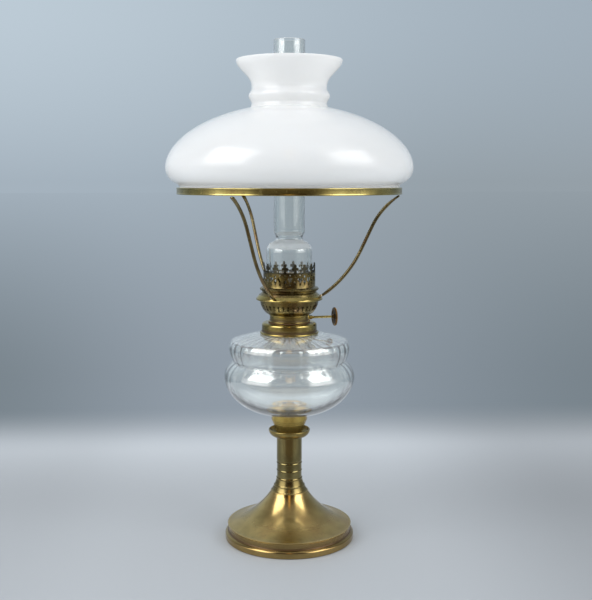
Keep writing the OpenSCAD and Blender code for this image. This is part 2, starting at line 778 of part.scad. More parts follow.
// Bent rod in the XZ plane: centre, bend radius, first angle and swept angle
module rod_bend(centre, bend_r, from, sweep) {
    translate([centre[0], 0, centre[1]]) rotate([90, 0, 0]) rotate([0, 0, from])
        rotate_extrude(angle = sweep) translate([bend_r, 0]) circle(r = arm_r);
}

// Small ball that joins two stretches of a rod, which stop just short of each other inside it
module rod_joint(p) translate([p[0], 0, p[1]]) sphere(r = arm_r + 0.12);

module arm_rod() {
    gap = 0.3;
    root_centre = arm_root + arm_bend * [-sin(arm_root_angle), cos(arm_root_angle)];
    top_centre = arm_knee + arm_top_bend * [sin(arm_mid_angle), -cos(arm_mid_angle)];
    start = arm_knee - arm_straight * [cos(arm_mid_angle), sin(arm_mid_angle)];
    root_sweep = arm_mid_angle - arm_root_angle - gap / arm_bend * 180 / PI;
    top_sweep = arm_mid_angle - arm_end_angle - gap / arm_top_bend * 180 / PI;
    rod_bend(root_centre, arm_bend, arm_root_angle - 90, root_sweep);
    rod_joint(start);
    translate([start[0], 0, start[1]]) rotate([0, 90 - arm_mid_angle, 0])
        translate([0, 0, gap]) cylinder(r = arm_r, h = arm_straight - 2 * gap);
    rod_joint(arm_knee);
    rod_bend(top_centre, arm_top_bend, arm_end_angle + 90, top_sweep);
    translate([ring_r - 4.2, 0, ring_z - arm_pad_t]) cylinder(r = arm_pad_r, h = arm_pad_t);
}

module arm(index) {
    color(dark_brass) rotate([0, 0, arm_angles[index]]) difference() {
        arm_rod();
        rotate([0, 0, 120]) lathe(tripod_section(set_gap));
        translate([arm_end[0] - 20, -10, ring_z]) cube([40, 20, 10]);
    }
}

module arm_right() arm(0);

module arm_back() arm(1);

module arm_left() arm(2);

module arm_rivets() {
    color(brass) difference() {
        for (a = arm_angles)
            rotate([0, 0, a - 5.5]) translate([tripod_r - 1.8, 0, deck_top + 3.1]) sphere(r = rivet_r);
        lathe(tripod_section(set_gap));
        for (a = arm_angles) rotate([0, 0, a]) arm_rod_sleeve();
    }
}

// Straight stand-in for the root of an arm, a little thicker, to keep the rivets off it
module arm_rod_sleeve() {
    translate([arm_root[0], 0, arm_root[1]]) rotate([0, 90 - arm_root_angle, 0])
        translate([0, 0, -4]) cylinder(r = arm_r + set_gap, h = 12);
}

module shade_ring() {
    color(brass) lathe([
        [ring_inner_r, ring_z], [ring_r, ring_z], [ring_r, ring_z + ring_h], [ring_r - ring_wall, ring_z + ring_h],
        [ring_r - ring_wall, shade_z], [ring_inner_r, shade_z]]);
}

// Shade section set in by the glass wall, for the inner side, or by nothing, for the outer side
function shade_side(inset) =
    let (lip_h = 8.3)
    let (roll_z = shade_z + roll_h)
    let (neck_z = roll_z + dome_h)
    let (top_z = neck_z + shade_crown_h)
    let (dome_curve = 1.88)
    let (neck_r = shade_neck_r - inset)
    let (dome_r = shade_r - inset)
    let (end = acos(pow(neck_r / dome_r, dome_curve / 2)))
    let (dome_b = (dome_h - inset) / pow(sin(end), 2 / dome_curve))
    let (bead_mid = neck_z + 11.6)
    let (flare_z = neck_z + 21)
    concat(
        [[shade_lip_r - inset, shade_z], [shade_lip_r - inset, shade_z + lip_h + inset / 2]],
        quarter(shade_r - 17.3, roll_z, 17.3 - inset, roll_h - lip_h - 1 - inset / 2, 2, 292, 352, 8),
        quarter(0, roll_z, dome_r, dome_b, dome_curve, 0, end, 24),
        [for (i = [-6:6]) [neck_r + 3.1 * pow(cos(90 * i / 6), 2), bead_mid + 7.9 * i / 6]],
        [for (i = [0:12])
            let (u = i / 12)
            [neck_r + shade_flare * (1 - pow(1 - pow(u, 2.2), 2.5)), flare_z + (top_z - flare_z) * u]]);

module shade() color(opal_glass) lathe(concat(shade_side(0), reversed(shade_side(shade_wall))));

// Chimney section set in by the glass wall, or by nothing
function chimney_side(inset) =
    let (bulb_z = ledge_top + chimney_bulb_h)
    let (neck_r = chimney_neck_d / 2)
    let (tube_r = chimney_tube_d / 2)
    let (bulb_round = 11.7)
    let (bulb_tilt = 70)
    let (bulb_top = [chimney_r - bulb_round * (1 - cos(bulb_tilt)), bulb_z + bulb_round * sin(bulb_tilt)])
    let (throat_round = (bulb_top[0] - neck_r) / (1 - cos(bulb_tilt)))
    let (throat_z = bulb_top[1] + throat_round * sin(bulb_tilt))
    let (flare_h = 6.6)
    concat(
        [[chimney_r - inset, ledge_top]],
        quarter(chimney_r - bulb_round, bulb_z, bulb_round - inset, bulb_round - inset, 2, 0, bulb_tilt, 10),
        quarter(neck_r + throat_round, throat_z, throat_round + inset, throat_round + inset, 2, 180 + bulb_tilt, 180, 8),
        [for (i = [1:8])
            [neck_r - inset + (tube_r - neck_r) * (1 - cos(180 * i / 8)) / 2, throat_z + flare_h * i / 8]],
        [[tube_r - inset, ledge_top + chimney_h]]);

module chimney() color(clear_glass) lathe(concat(chimney_side(0), reversed(chimney_side(chimney_wall))));

foot_shell();
foot_weight();
foot_cover();
tie_rod();
tie_washer();
tie_nut();
column_sleeve();
column_tube();
column_dish();
peg_ferrule();
peg_cement();
font();
neck_cement();
font_collar();
burner_seal();
burner_base();
air_basket();
deck_ring();
wick_tube();
draft_tube();
air_duct();
spindle_bush();
gallery();
chimney_springs();
wick_spindle();
wick_pinion();
wick_knob();
wick_carrier();
wick();
tripod_collar();
arm_right();
arm_back();
arm_left();
arm_rivets();
shade_ring();
shade();
chimney();
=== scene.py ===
# %% [markdown]
# # A kerosene table lamp, dressed over its solid model
#
# The lamp is a household table lamp: a spun brass foot and column carry a clear glass oil font, a
# round-wick burner sits in a brass collar on the font, and a tripod of bent rods carries an opal shade
# round the glass chimney. The solid model already has every piece at its real size, so this script only
# adds the looks: smooth turned meshes, ribbed glass, patina, light and a camera.
#
# The first cell loads the solid model as a fixed frame.

# %% Load the frame
import json
import math

import bmesh
import bpy
import numpy as np
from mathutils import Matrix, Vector


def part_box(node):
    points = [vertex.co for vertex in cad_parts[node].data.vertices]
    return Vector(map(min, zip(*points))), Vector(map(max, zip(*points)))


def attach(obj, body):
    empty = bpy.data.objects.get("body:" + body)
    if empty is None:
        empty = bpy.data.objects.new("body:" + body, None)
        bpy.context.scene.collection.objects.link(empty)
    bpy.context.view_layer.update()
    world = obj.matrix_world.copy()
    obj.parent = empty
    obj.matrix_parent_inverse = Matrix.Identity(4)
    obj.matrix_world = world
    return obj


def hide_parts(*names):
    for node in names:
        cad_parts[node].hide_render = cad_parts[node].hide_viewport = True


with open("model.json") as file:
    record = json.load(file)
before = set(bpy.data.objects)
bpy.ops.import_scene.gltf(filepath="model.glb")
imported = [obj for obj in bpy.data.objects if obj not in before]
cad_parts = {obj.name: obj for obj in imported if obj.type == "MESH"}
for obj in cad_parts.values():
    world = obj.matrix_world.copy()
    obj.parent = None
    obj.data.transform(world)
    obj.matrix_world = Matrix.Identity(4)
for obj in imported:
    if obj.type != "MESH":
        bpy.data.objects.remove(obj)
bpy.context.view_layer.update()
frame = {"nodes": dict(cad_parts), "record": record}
MM = 0.001
record = frame["record"]
body_of = {node: body for body, nodes in record["behaviour"]["bodies"].items() for node in nodes}


# %% [markdown]
# ## Outlines for the lathe
#
# Spun brass, turned brass and blown glass are all bodies of revolution, so most pieces start as an outline
# of radius and height. Round stretches are quarter superellipses: power 2 is an ellipse, a higher power is
# squarer and a lower one is flatter. No real edge is perfectly sharp, so every corner of an outline is
# replaced by a small curve. That could be left to a Bevel modifier, but rounding the outline keeps the
# mesh regular and lets the same outline say where the edges and the hollows are.


# %% Outline helpers
def span(node):
    """Outer radius, lowest and highest level of a node of the solid model, in millimetres."""
    low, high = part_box(node)
    return high.x / MM, low.z / MM, high.z / MM


def arc(centre, reach, power, start, stop, count=24):
    """Superellipse: cosine and sine of the angle, each to the power 2 / power, times the reach."""
    angle = np.radians(np.linspace(start, stop, count))
    way = np.stack([np.cos(angle), np.sin(angle)], axis=1)
    return np.array(centre) + np.array(reach) * np.sign(way) * np.abs(way) ** (2 / power)


def rounded(corners, radius, steps=6, sharp=14):
    """Closed outline whose corners are curves: each corner that turns by more than `sharp` degrees becomes
    a parabola that leaves one side and joins the next at `radius` from the corner."""
    here = np.array(corners, float)
    back = np.roll(here, 1, axis=0) - here
    ahead = np.roll(here, -1, axis=0) - here
    back_length = np.linalg.norm(back, axis=1)
    ahead_length = np.linalg.norm(ahead, axis=1)
    straight = -(back * ahead).sum(axis=1) / (back_length * ahead_length)
    corner = (straight < math.cos(math.radians(sharp))) & (here[:, 0] > 1e-6)
    reach = np.minimum(radius, 0.45 * np.minimum(back_length, ahead_length)) * corner
    start = here + back * (reach / back_length)[:, None]
    end = here + ahead * (reach / ahead_length)[:, None]
    t = np.linspace(0, 1, steps)[None, :, None]
    curve = (1 - t) ** 2 * start[:, None] + 2 * t * (1 - t) * here[:, None] + t**2 * end[:, None]
    keep = corner[:, None] | (np.arange(steps) == 0)[None, :]
    return curve[keep]


def ringed(outline, levels, height, width):
    """Raises small rings on an outline of radius and height: a bell curve is added at each level."""
    bell = np.exp(-(((outline[:, 1:] - np.array(levels)) / width) ** 2)).sum(axis=1)
    return outline + np.stack([height * bell, np.zeros(len(outline))], axis=1)


print("outline helpers ready:", len(rounded([[1, 0], [2, 0], [2, 1], [1, 1]], 0.1)), "points round a square")

# %% [markdown]
# ## From outline to mesh
#
# An outline is carried round the axis as one array: the rows follow the outline, the columns go round.
# Blender's Spin or Screw would do it too, but with the whole grid at hand a relief can be added, such as
# the ribs in the font or the notches of the knob. Each vertex also keeps one number, `edge`: how far the
# outline turns within a millimetre or so. It is above zero on edges, which get rubbed bright, and below
# zero in hollows, where polish and dirt collect, and the brass finish reads it.


# %% Mesh helpers
def put(name, data):
    """New object with the given data, in the scene."""
    thing = bpy.data.objects.new(name, data)
    bpy.context.scene.collection.objects.link(thing)
    return thing


def new_piece(name, points, faces, edge=None):
    """One object from arrays in millimetres. Points that meet are welded, and if the closed mesh holds a
    negative volume its faces are turned round, so that they point outwards."""
    mesh = bpy.data.meshes.new(name)
    mesh.from_pydata(np.reshape(points, (-1, 3)) * MM, [], np.reshape(faces, (-1, 4)))
    if edge is not None:
        layer = mesh.attributes.new("edge", "FLOAT", "POINT")
        layer.data.foreach_set("value", np.ravel(edge).astype(np.float32))
    work = bmesh.new()
    work.from_mesh(mesh)
    bmesh.ops.remove_doubles(work, verts=work.verts, dist=1e-7)
    if work.calc_volume(signed=True) < 0:
        bmesh.ops.reverse_faces(work, faces=work.faces)
    work.to_mesh(mesh)
    work.free()
    mesh.shade_smooth()
    return put(name, mesh)


def grid_faces(rows, columns, close_rows, close_columns, first=0):
    """Quads between neighbouring rows and columns of a grid, wrapping round where it is closed."""
    row = np.arange(rows if close_rows else rows - 1)[:, None]
    column = np.arange(columns if close_columns else columns - 1)[None, :]
    next_row = (row + 1) % rows
    next_column = (column + 1) % columns
    corners = [row * columns + column, row * columns + next_column,
               next_row * columns + next_column, next_row * columns + column]
    return first + np.stack(corners, axis=-1).reshape(-1, 4)


def edge_share(outline, closed, reach=1.2):
    """Angle by which the outline turns near each point, weighed by a bell curve of the distance along it,
    as a share of a right angle: positive where it bulges, negative where it is hollow."""
    step = np.roll(outline, -1, axis=0) - outline
    length = np.linalg.norm(step, axis=1)
    heading = np.unwrap(np.arctan2(step[:, 1], step[:, 0]))
    turn = (heading - np.roll(heading, 1) + math.pi) % (2 * math.pi) - math.pi
    if not closed:
        turn[[0, -1]] = 0
    place = np.concatenate([[0], np.cumsum(length)[:-1]])
    apart = np.abs(place[:, None] - place[None, :])
    apart = np.minimum(apart, length.sum() - apart) if closed else apart
    return (turn[None, :] * np.exp(-((apart / reach) ** 2))).sum(axis=1) / (math.pi / 2)


def turned(name, outline, columns=160, relief=None, along="z", shift=(0, 0, 0)):
    """Carries an outline of radius and height round an axis. An outline that starts and ends on the axis
    stays open there and its poles are welded. `relief` moves each point along the outline's normal, in
    millimetres, as a function of the outline points and the angles."""
    outline = np.array(outline, float)
    closed = outline[0, 0] > 1e-6
    area = (outline[:, 0] * np.roll(outline[:, 1], -1) - np.roll(outline[:, 0], -1) * outline[:, 1]).sum()
    outline = outline[::-1] if area < 0 else outline
    angle = np.linspace(0, 2 * math.pi, columns, endpoint=False)
    radius = np.repeat(outline[:, :1], columns, axis=1)
    height = np.repeat(outline[:, 1:], columns, axis=1)
    if relief is not None:
        side = np.roll(outline, -1, axis=0) - np.roll(outline, 1, axis=0)
        side /= np.linalg.norm(side, axis=1, keepdims=True)
        move = relief(outline, angle)
        radius = radius + side[:, 1:] * move
        height = height - side[:, :1] * move
    grid = np.stack([radius * np.cos(angle), radius * np.sin(angle), height], axis=-1)
    grid = grid[..., [2, 0, 1]] if along == "x" else grid
    edge = np.repeat(edge_share(outline, closed)[:, None], columns, axis=1)
    return new_piece(name, grid + np.array(shift), grid_faces(*grid.shape[:2], closed, True), edge)


def dress(piece, finish, *nodes):
    """A piece takes a finish, rides on the body of the nodes that it stands for, and replaces them."""
    piece.data.materials.clear()
    piece.data.materials.append(finish.material)
    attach(piece, body_of[nodes[0]])
    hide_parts(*nodes)
    print(piece.name, "on", body_of[nodes[0]], len(piece.data.polygons), "faces, for", ", ".join(nodes))
    return piece


def refined(node, name, finish, bevel=0.12):
    """Copy of a node of the solid model: its triangles are merged, flat ones joined, curved ones shaded
    smooth, and its edges get a bevel of the given width in millimetres."""
    mesh = frame["nodes"][node].data.copy()
    mesh.name = name
    work = bmesh.new()
    work.from_mesh(mesh)
    bmesh.ops.remove_doubles(work, verts=work.verts, dist=2e-6)
    bmesh.ops.dissolve_limit(work, angle_limit=math.radians(0.5), verts=work.verts, edges=work.edges)
    work.to_mesh(mesh)
    work.free()
    mesh.shade_smooth()
    mesh.set_sharp_from_angle(angle=math.radians(32))
    piece = put(name, mesh)
    soft = piece.modifiers.new("soft_edges", "BEVEL")
    soft.width = bevel * MM
    soft.segments = 2
    soft.limit_method = "ANGLE"
    soft.angle_limit = math.radians(40)
    return dress(piece, finish, node)


print("mesh helpers ready")

# %% [markdown]
# ## Finishes written as arithmetic
#
# A finish is a small network of shader nodes. Wiring them one by one hides what they work out, so a node's
# output is wrapped in a class with the usual operators: `1 - dirt * 0.4` adds its Math nodes by itself.
# Colours are mixed with Mix nodes, because a Math node would turn them grey. All other nodes come from
# one method, which takes the node's type, its settings and its sockets.


# %% Shader wrapper
FILM_WHITE = (0.95, 0.96, 0.96, 1.0)


class Wire:
    """A node's output that takes part in Python arithmetic: each operator adds one Math node."""

    def __init__(self, finish, socket):
        self.finish = finish
        self.socket = socket

    def math(self, operation, *others, clamp=False):
        settings = {"operation": operation, "use_clamp": clamp}
        return self.finish.add("ShaderNodeMath", settings, (self, *others))

    def output(self, name):
        return Wire(self.finish, self.socket.node.outputs[name])

    def __add__(self, other):
        return self.math("ADD", other)

    def __sub__(self, other):
        return self.math("SUBTRACT", other)

    def __rsub__(self, other):
        return self.finish.add("ShaderNodeMath", {"operation": "SUBTRACT"}, (other, self))

    def __mul__(self, other):
        return self.math("MULTIPLY", other)

    def __truediv__(self, other):
        return self.math("DIVIDE", other)

    def __rtruediv__(self, other):
        return self.finish.add("ShaderNodeMath", {"operation": "DIVIDE"}, (other, self))

    def __pow__(self, other):
        return self.math("POWER", other)

    __radd__ = __add__
    __rmul__ = __mul__


class Finish:
    """A node tree with one method for any node, and short names for those that are used most."""

    def __init__(self, name, tree=None):
        if tree is None:
            self.material = bpy.data.materials.new(name)
            self.material.use_nodes = True
            tree = self.material.node_tree
        self.tree = tree
        self.tree.nodes.clear()

    def add(self, kind, settings=None, sockets=(), output=0):
        """One node: settings first, then the sockets by name or by place, as values or as wires."""
        node = self.tree.nodes.new(kind)
        for key, value in (settings or {}).items():
            setattr(node, key, value)
        for key, value in sockets.items() if isinstance(sockets, dict) else enumerate(sockets):
            if isinstance(value, Wire):
                self.tree.links.new(value.socket, node.inputs[key])
            else:
                node.inputs[key].default_value = value
        return Wire(self, node.outputs[output]) if node.outputs else None

    def place(self):
        return self.add("ShaderNodeTexCoord", output="Object")

    def xyz(self, vector):
        parts = self.add("ShaderNodeSeparateXYZ", sockets=(vector,))
        return [parts.output(axis) for axis in "XYZ"]

    def vector(self, *parts):
        return self.add("ShaderNodeCombineXYZ", sockets=parts)

    def noise(self, vector, scale, detail=3.0, rough=0.5):
        sockets = {"Vector": vector, "Scale": scale, "Detail": detail, "Roughness": rough}
        return self.add("ShaderNodeTexNoise", sockets=sockets)

    def ramp(self, value, low, high):
        """Smooth step: 0 below low, 1 above high."""
        settings = {"interpolation_type": "SMOOTHSTEP"}
        return self.add("ShaderNodeMapRange", settings, (value, low, high, 0.0, 1.0))

    def mix(self, share, first, second):
        """Colour between first and second."""
        colours = {0: share, 6: first, 7: second}
        return self.add("ShaderNodeMix", {"data_type": "RGBA"}, colours, output=2)

    def attribute(self, name):
        return self.add("ShaderNodeAttribute", {"attribute_name": name}, output="Fac")

    def bump(self, height, depth, strength=1.0):
        """Normal bent by a height between 0 and 1 that stands for `depth` millimetres."""
        sockets = {"Strength": strength, "Distance": depth * MM, "Height": height}
        return self.add("ShaderNodeBump", sockets=sockets)

    def surface(self, film=None, **sockets):
        """Principled shader on the output, with its sockets by name, under a white film of that share."""
        named = {key.replace("_", " "): value for key, value in sockets.items()}
        shader = self.add("ShaderNodeBsdfPrincipled", sockets=named)
        if film is not None:
            white = self.add("ShaderNodeBsdfDiffuse", sockets={"Color": FILM_WHITE})
            shader = self.add("ShaderNodeMixShader", sockets=(film, shader, white))
        self.add("ShaderNodeOutputMaterial", sockets={"Surface": shader})
        return self


def rgb(red, green, blue):
    """Colour in linear light with full alpha, from the usual 0 to 255 screen values."""
    screen = np.array([red, green, blue]) / 255
    linear = np.where(screen <= 0.04045, screen / 12.92, ((screen + 0.055) / 1.055) ** 2.4)
    return (*linear.tolist(), 1.0)


print("shader wrapper ready:", [round(v, 3) for v in rgb(128, 128, 128)[:3]], "is middle grey")

# %% [markdown]
# ## Aged brass
#
# The brass is old and unlacquered: satin rather than bright, olive gold where it reflects the pale room,
# brown where polish never reaches, with coppery clouds where it was overcleaned. The lathe left fine lines
# round every turned piece. So the finish has layers: two clouds of tone, spots and stains of tarnish, dirt
# and wear from the `edge` number, and lines that depend only on radius and height, so that they run round.
# Above a given height the tone can turn into another one: on the gallery this is painted shade, which
# darkens the finials, and on the foot it gives the top the column's darker tone. The same function with
# other colours gives the darker bronze of the rods and of the knob. Each finish has four tones, as screen
# colours: gold, olive, brown and a copper tint.


# %% Brass finishes
RIM_EDGE = (0.0132, 0.0148)
WIPED_RADII = (0.035, 0.055)
RIM_BROWN = 2.6
UPPER_TONE_FADE = 0.003
UPPER_TONE_SHARE = 0.8


def aged_brass(name, tones, tarnish=0.5, satin=0.3, lines=1.0, scale=1.0, grain=0.4, dull=0.0, oxide=0.0,
               upper_tone_from=1.0, upper_tone=(0, 0, 0)):
    """Brass whose tone goes from olive to gold in clouds, brown in the hollows, bright on the edges. `dull`
    is what the roughness gains away from the axis, and it browns the rim below the ridge. `oxide` is the
    share of matt skin. Above the height given by the last but one argument, most of the tone turns into
    the last one, a darker tone: this is painted shade where it darkens the finials of the gallery."""
    gold, olive, brown, tint = (rgb(*tone) for tone in tones)
    finish = Finish(name)
    place = finish.place()
    x, y, z = finish.xyz(place)
    radius = (x * x + y * y) ** 0.5
    clouds = finish.noise(place, 34.0 * scale, 4.0, 0.55)
    tinted = finish.noise(place, 21.0 * scale, 3.0, 0.6)
    spots = finish.ramp(finish.noise(place, 330.0 * scale, 3.0, 0.7), 0.56, 0.72)
    stain = finish.ramp(finish.noise(place, 75.0 * scale, 5.0, 0.65), 0.52, 0.68)
    lathe_lines = finish.noise(finish.vector(radius, z, 0.0), 2600.0, 3.0, 0.6)
    edge = finish.attribute("edge")
    wear = finish.ramp(edge + (clouds - 0.5) * 0.5, 0.12, 0.75)
    dirt = finish.ramp((clouds - 0.5) * 0.4 - edge, 0.08, 0.55)
    grime = (dirt * 0.85).math("MAXIMUM", stain * tarnish * 0.55)
    grime = grime.math("MAXIMUM", spots * tarnish * 0.5)
    tone = finish.mix(finish.ramp(clouds, 0.3, 0.7), olive, gold)
    tone = finish.mix(finish.ramp(tinted, 0.48, 0.75) * 0.5, tone, tint)
    tone = finish.mix(grime, tone, brown)
    tone = finish.mix(wear * 0.55, tone, gold)
    # Darker tone above a height: painted shade on the gallery's finials, and the column's darker tone on the
    # top of the foot.
    upper_share = finish.ramp(z, upper_tone_from - UPPER_TONE_FADE, upper_tone_from) * UPPER_TONE_SHARE
    tone = finish.mix(upper_share, tone, rgb(*upper_tone))
    rough = satin + clouds * 0.10 + upper_share * 0.10 + grime * 0.22 - wear * 0.08
    rough = rough + (lathe_lines - 0.5) * 0.10 * lines
    rim = 1 - finish.ramp(z, *RIM_EDGE)
    rough = rough + finish.ramp(radius, *WIPED_RADII) * (1 - rim) * dull
    tone = finish.mix(rim * (dull * RIM_BROWN), tone, brown)
    relief = lathe_lines * 0.6 * lines + spots * 0.25 + finish.noise(place, 900.0, 2.0) * grain
    return finish.surface(Base_Color=tone, Metallic=1 - oxide - grime * 0.6, Roughness=rough,
                          Normal=finish.bump(relief, 0.02, 0.35))


# The top of the foot, from 54 mm up, takes the column's darker tone.
brass = aged_brass("aged_brass", [(198, 171, 112), (164, 141, 90), (74, 50, 26), (166, 128, 84)],
                   tarnish=0.35, satin=0.11, dull=0.14, upper_tone_from=0.054, upper_tone=(112, 102, 66))
burner_brass = aged_brass("burner_brass", [(178, 160, 98), (136, 122, 72), (62, 42, 22), (150, 108, 84)],
                          tarnish=0.75, satin=0.14, scale=2.0)
column_brass = aged_brass("column_brass", [(142, 130, 88), (110, 102, 68), (96, 76, 42), (126, 102, 70)],
                          tarnish=0.35, satin=0.16)
# The dish is lighter than the column: partly its own tone, partly painted light that lifts the dark where it
# shows through the font's floor.
dish_brass = aged_brass("dish_brass", [(158, 140, 84), (122, 106, 62), (96, 74, 36), (132, 104, 68)],
                        tarnish=0.4, satin=0.15, oxide=0.2)
ferrule_brass = aged_brass("ferrule_brass", [(184, 162, 90), (148, 126, 64), (112, 84, 34), (156, 120, 74)],
                           tarnish=0.5, satin=0.16, oxide=0.3)
# Above 291 mm the finials turn dark grey-green: painted shade for their unlit faces.
pierced_brass = aged_brass("pierced_brass", [(148, 132, 84), (102, 90, 56), (48, 34, 20), (126, 94, 76)],
                           tarnish=1.0, satin=0.18, scale=2.4, upper_tone_from=0.291, upper_tone=(58, 62, 58))
ring_brass = aged_brass("ring_brass", [(182, 168, 106), (142, 128, 76), (70, 44, 20), (142, 104, 66)],
                        tarnish=0.7, satin=0.18)
rod_bronze = aged_brass("rod_bronze", [(150, 136, 98), (110, 99, 70), (60, 46, 30), (126, 92, 70)],
                        tarnish=0.25, satin=0.18, lines=0.0, scale=1.6, grain=0.0)
knob_bronze = aged_brass("knob_bronze", [(128, 98, 58), (86, 70, 40), (40, 30, 20), (128, 76, 46)],
                         tarnish=0.9, satin=0.34, scale=2.5)
solder = aged_brass("solder", [(226, 216, 196), (200, 188, 164), (120, 100, 74), (206, 184, 150)],
                    tarnish=0.4, satin=0.24, lines=0.0, scale=3.0)
print("brass finishes:", len(brass.tree.nodes), "nodes each")

# %% [markdown]
# ## Glass
#
# The font and the chimney are clear soda glass, a shade green in its thickness, and blown or pressed, so the
# surface is never quite even. The walls are modelled, so the shader needs only its true index of 1.5 and a
# faint waviness in the normal. Such glass looks too clean, so two layers go on top: a thin white film of
# dust, with more white on faces that look up as a painted reflection of the pale things above them, and a
# coat of a higher index, which strengthens what the glass mirrors. The shade is opal glass: white all
# through, with a glossy skin, so light enters a little way and scatters.


# %% Glass finishes
def clear_glass(name, film, top_sheen, steep, coat):
    """Clear glass with slow waves, a breath of dust and a thin white film. Where the upward share of the
    normal is above `steep`, the film is thicker by the share given before it: a painted reflection of the
    pale things above. `coat` is the strength of the outer gloss."""
    finish = Finish(name)
    place = finish.place()
    waves = finish.noise(place, 26.0, 2.0, 0.4)
    dust = finish.ramp(finish.noise(place, 60.0, 5.0, 0.7), 0.5, 0.8)
    tone = finish.mix(dust * 0.3, (0.97, 0.995, 0.985, 1.0), (0.93, 0.95, 0.94, 1.0))
    facing_up = finish.xyz(finish.add("ShaderNodeNewGeometry", output="Normal"))[2]
    # Painted reflection: more white film on faces that look up, standing in for the pale things they mirror
    # from above.
    film = film + finish.ramp(facing_up, steep, steep + 0.25) * top_sheen
    return finish.surface(film=film * (0.85 + dust * 0.3), Base_Color=tone, Roughness=dust * 0.002, IOR=1.5,
                          Transmission_Weight=1.0, Coat_Weight=coat, Coat_IOR=1.9, Coat_Roughness=0.0,
                          Normal=finish.bump(waves, 0.5, 0.12))


def opal_glass(name):
    """White glass with a glossy skin: faint warm clouds, slow waves, light that spreads inside."""
    finish = Finish(name)
    place = finish.place()
    clouds = finish.noise(place, 14.0, 4.0, 0.5)
    waves = finish.noise(place, 20.0, 2.0, 0.4)
    specks = finish.ramp(finish.noise(place, 520.0, 2.0, 0.6), 0.70, 0.78)
    tone = finish.mix(clouds, (0.90, 0.895, 0.875, 1.0), (0.93, 0.93, 0.925, 1.0))
    tone = finish.mix(specks * 0.12, tone, (0.62, 0.58, 0.52, 1.0))
    return finish.surface(Base_Color=tone, Roughness=0.10 + clouds * 0.05, IOR=1.5, Subsurface_Weight=0.7,
                          Subsurface_Radius=(1.0, 0.95, 0.9), Subsurface_Scale=0.01,
                          Normal=finish.bump(waves, 0.4, 0.10))


# The third number is painted reflection on upward faces: faint on the font's crown, strong on the chimney's
# shoulder.
font_glass = clear_glass("font_glass", 0.018, 0.09, 0.72, 1.0)
chimney_glass = clear_glass("chimney_glass", 0.018, 0.3, 0.2, 0.25)
shade_glass = opal_glass("opal_glass")
print("glass finishes:", font_glass.material.name, chimney_glass.material.name, shade_glass.material.name)

# %% [markdown]
# ## The plain inner materials
#
# Inside the foot and the burner are a cast-iron weight, steel fasteners, plaster that holds the glass, a
# leather washer and a cotton wick. They are seldom seen, but the lamp comes apart, so each gets its own
# grain: pits for cast iron, brushed streaks for steel, crumbs for plaster, pores for leather.


# %% Inner finishes
THREADS = 60.0
CHARRED = (63.5, 66.5)


def cast_iron(name):
    """Dark grey with pits and a bloom of rust."""
    finish = Finish(name)
    place = finish.place()
    grain = finish.noise(place, 600.0, 4.0, 0.7)
    rust = finish.ramp(finish.noise(place, 45.0, 5.0, 0.65), 0.55, 0.75)
    tone = finish.mix(grain, rgb(52, 52, 54), rgb(78, 77, 76))
    tone = finish.mix(rust * 0.5, tone, rgb(104, 66, 42))
    return finish.surface(Base_Color=tone, Metallic=0.8 - rust * 0.6, Roughness=0.55 + rust * 0.3,
                          Normal=finish.bump(grain, 0.15, 0.6))


def brushed_steel(name):
    """Bright steel with streaks that run round the axis and a few dull stains."""
    finish = Finish(name)
    place = finish.place()
    x, y, z = finish.xyz(place)
    streaks = finish.noise(finish.vector((x * x + y * y) ** 0.5, z, 0.0), 1500.0, 3.0, 0.6)
    stains = finish.ramp(finish.noise(place, 50.0, 4.0, 0.6), 0.5, 0.75)
    tone = finish.mix(streaks, rgb(150, 152, 156), rgb(186, 188, 190))
    tone = finish.mix(stains * 0.4, tone, rgb(112, 106, 98))
    return finish.surface(Base_Color=tone, Metallic=1 - stains * 0.2, Roughness=0.28 + stains * 0.2,
                          Normal=finish.bump(streaks, 0.01, 0.3))


def crumbly(name, light, dark, grain_scale, rough):
    """Dull, grainy stuff: plaster or leather, by its two tones and the size of its grain."""
    finish = Finish(name)
    place = finish.place()
    grain = finish.noise(place, grain_scale, 4.0, 0.65)
    blotch = finish.noise(place, 80.0, 3.0, 0.5)
    tone = finish.mix(finish.ramp(grain * 0.6 + blotch * 0.4, 0.3, 0.7), dark, light)
    return finish.surface(Base_Color=tone, Roughness=rough + grain * 0.1,
                          Normal=finish.bump(grain, 0.12, 0.5))


def cotton_weave(name):
    """Plait of a round wick: two sets of slanting threads that cross, from the piece's own UV map, and
    charred at the top."""
    finish = Finish(name)
    around, up, _ = finish.xyz(finish.add("ShaderNodeUVMap", {"uv_map": "weave"}))
    left = ((around * THREADS + up * 0.9) * math.tau).math("SINE") * 0.5 + 0.5
    right = ((around * THREADS - up * 0.9) * math.tau).math("SINE") * 0.5 + 0.5
    thread = left.math("MAXIMUM", right)
    fuzz = finish.noise(finish.place(), 900.0, 3.0, 0.7)
    tone = finish.mix(thread * 0.7 + fuzz * 0.3, rgb(176, 160, 128), rgb(236, 228, 208))
    tone = finish.mix(finish.ramp(up, *CHARRED) * (0.5 + fuzz * 0.4), tone, rgb(112, 86, 58))
    return finish.surface(Base_Color=tone, Roughness=0.85 + fuzz * 0.1, Sheen_Weight=0.3,
                          Normal=finish.bump(thread * 0.8 + fuzz * 0.4, 0.25, 0.7))


iron = cast_iron("cast_iron")
steel = brushed_steel("brushed_steel")
# The cement's tones are yellower and lighter than plaster's, for a yellow glow under the font whose cause
# isn't known.
plaster = crumbly("plaster", rgb(250, 208, 96), rgb(242, 192, 76), 700.0, 0.8)
leather = crumbly("leather", rgb(104, 74, 50), rgb(62, 42, 28), 1100.0, 0.65)
cotton = cotton_weave("cotton_weave")
print("inner finishes:", [f.material.name for f in (iron, steel, plaster, leather, cotton)])

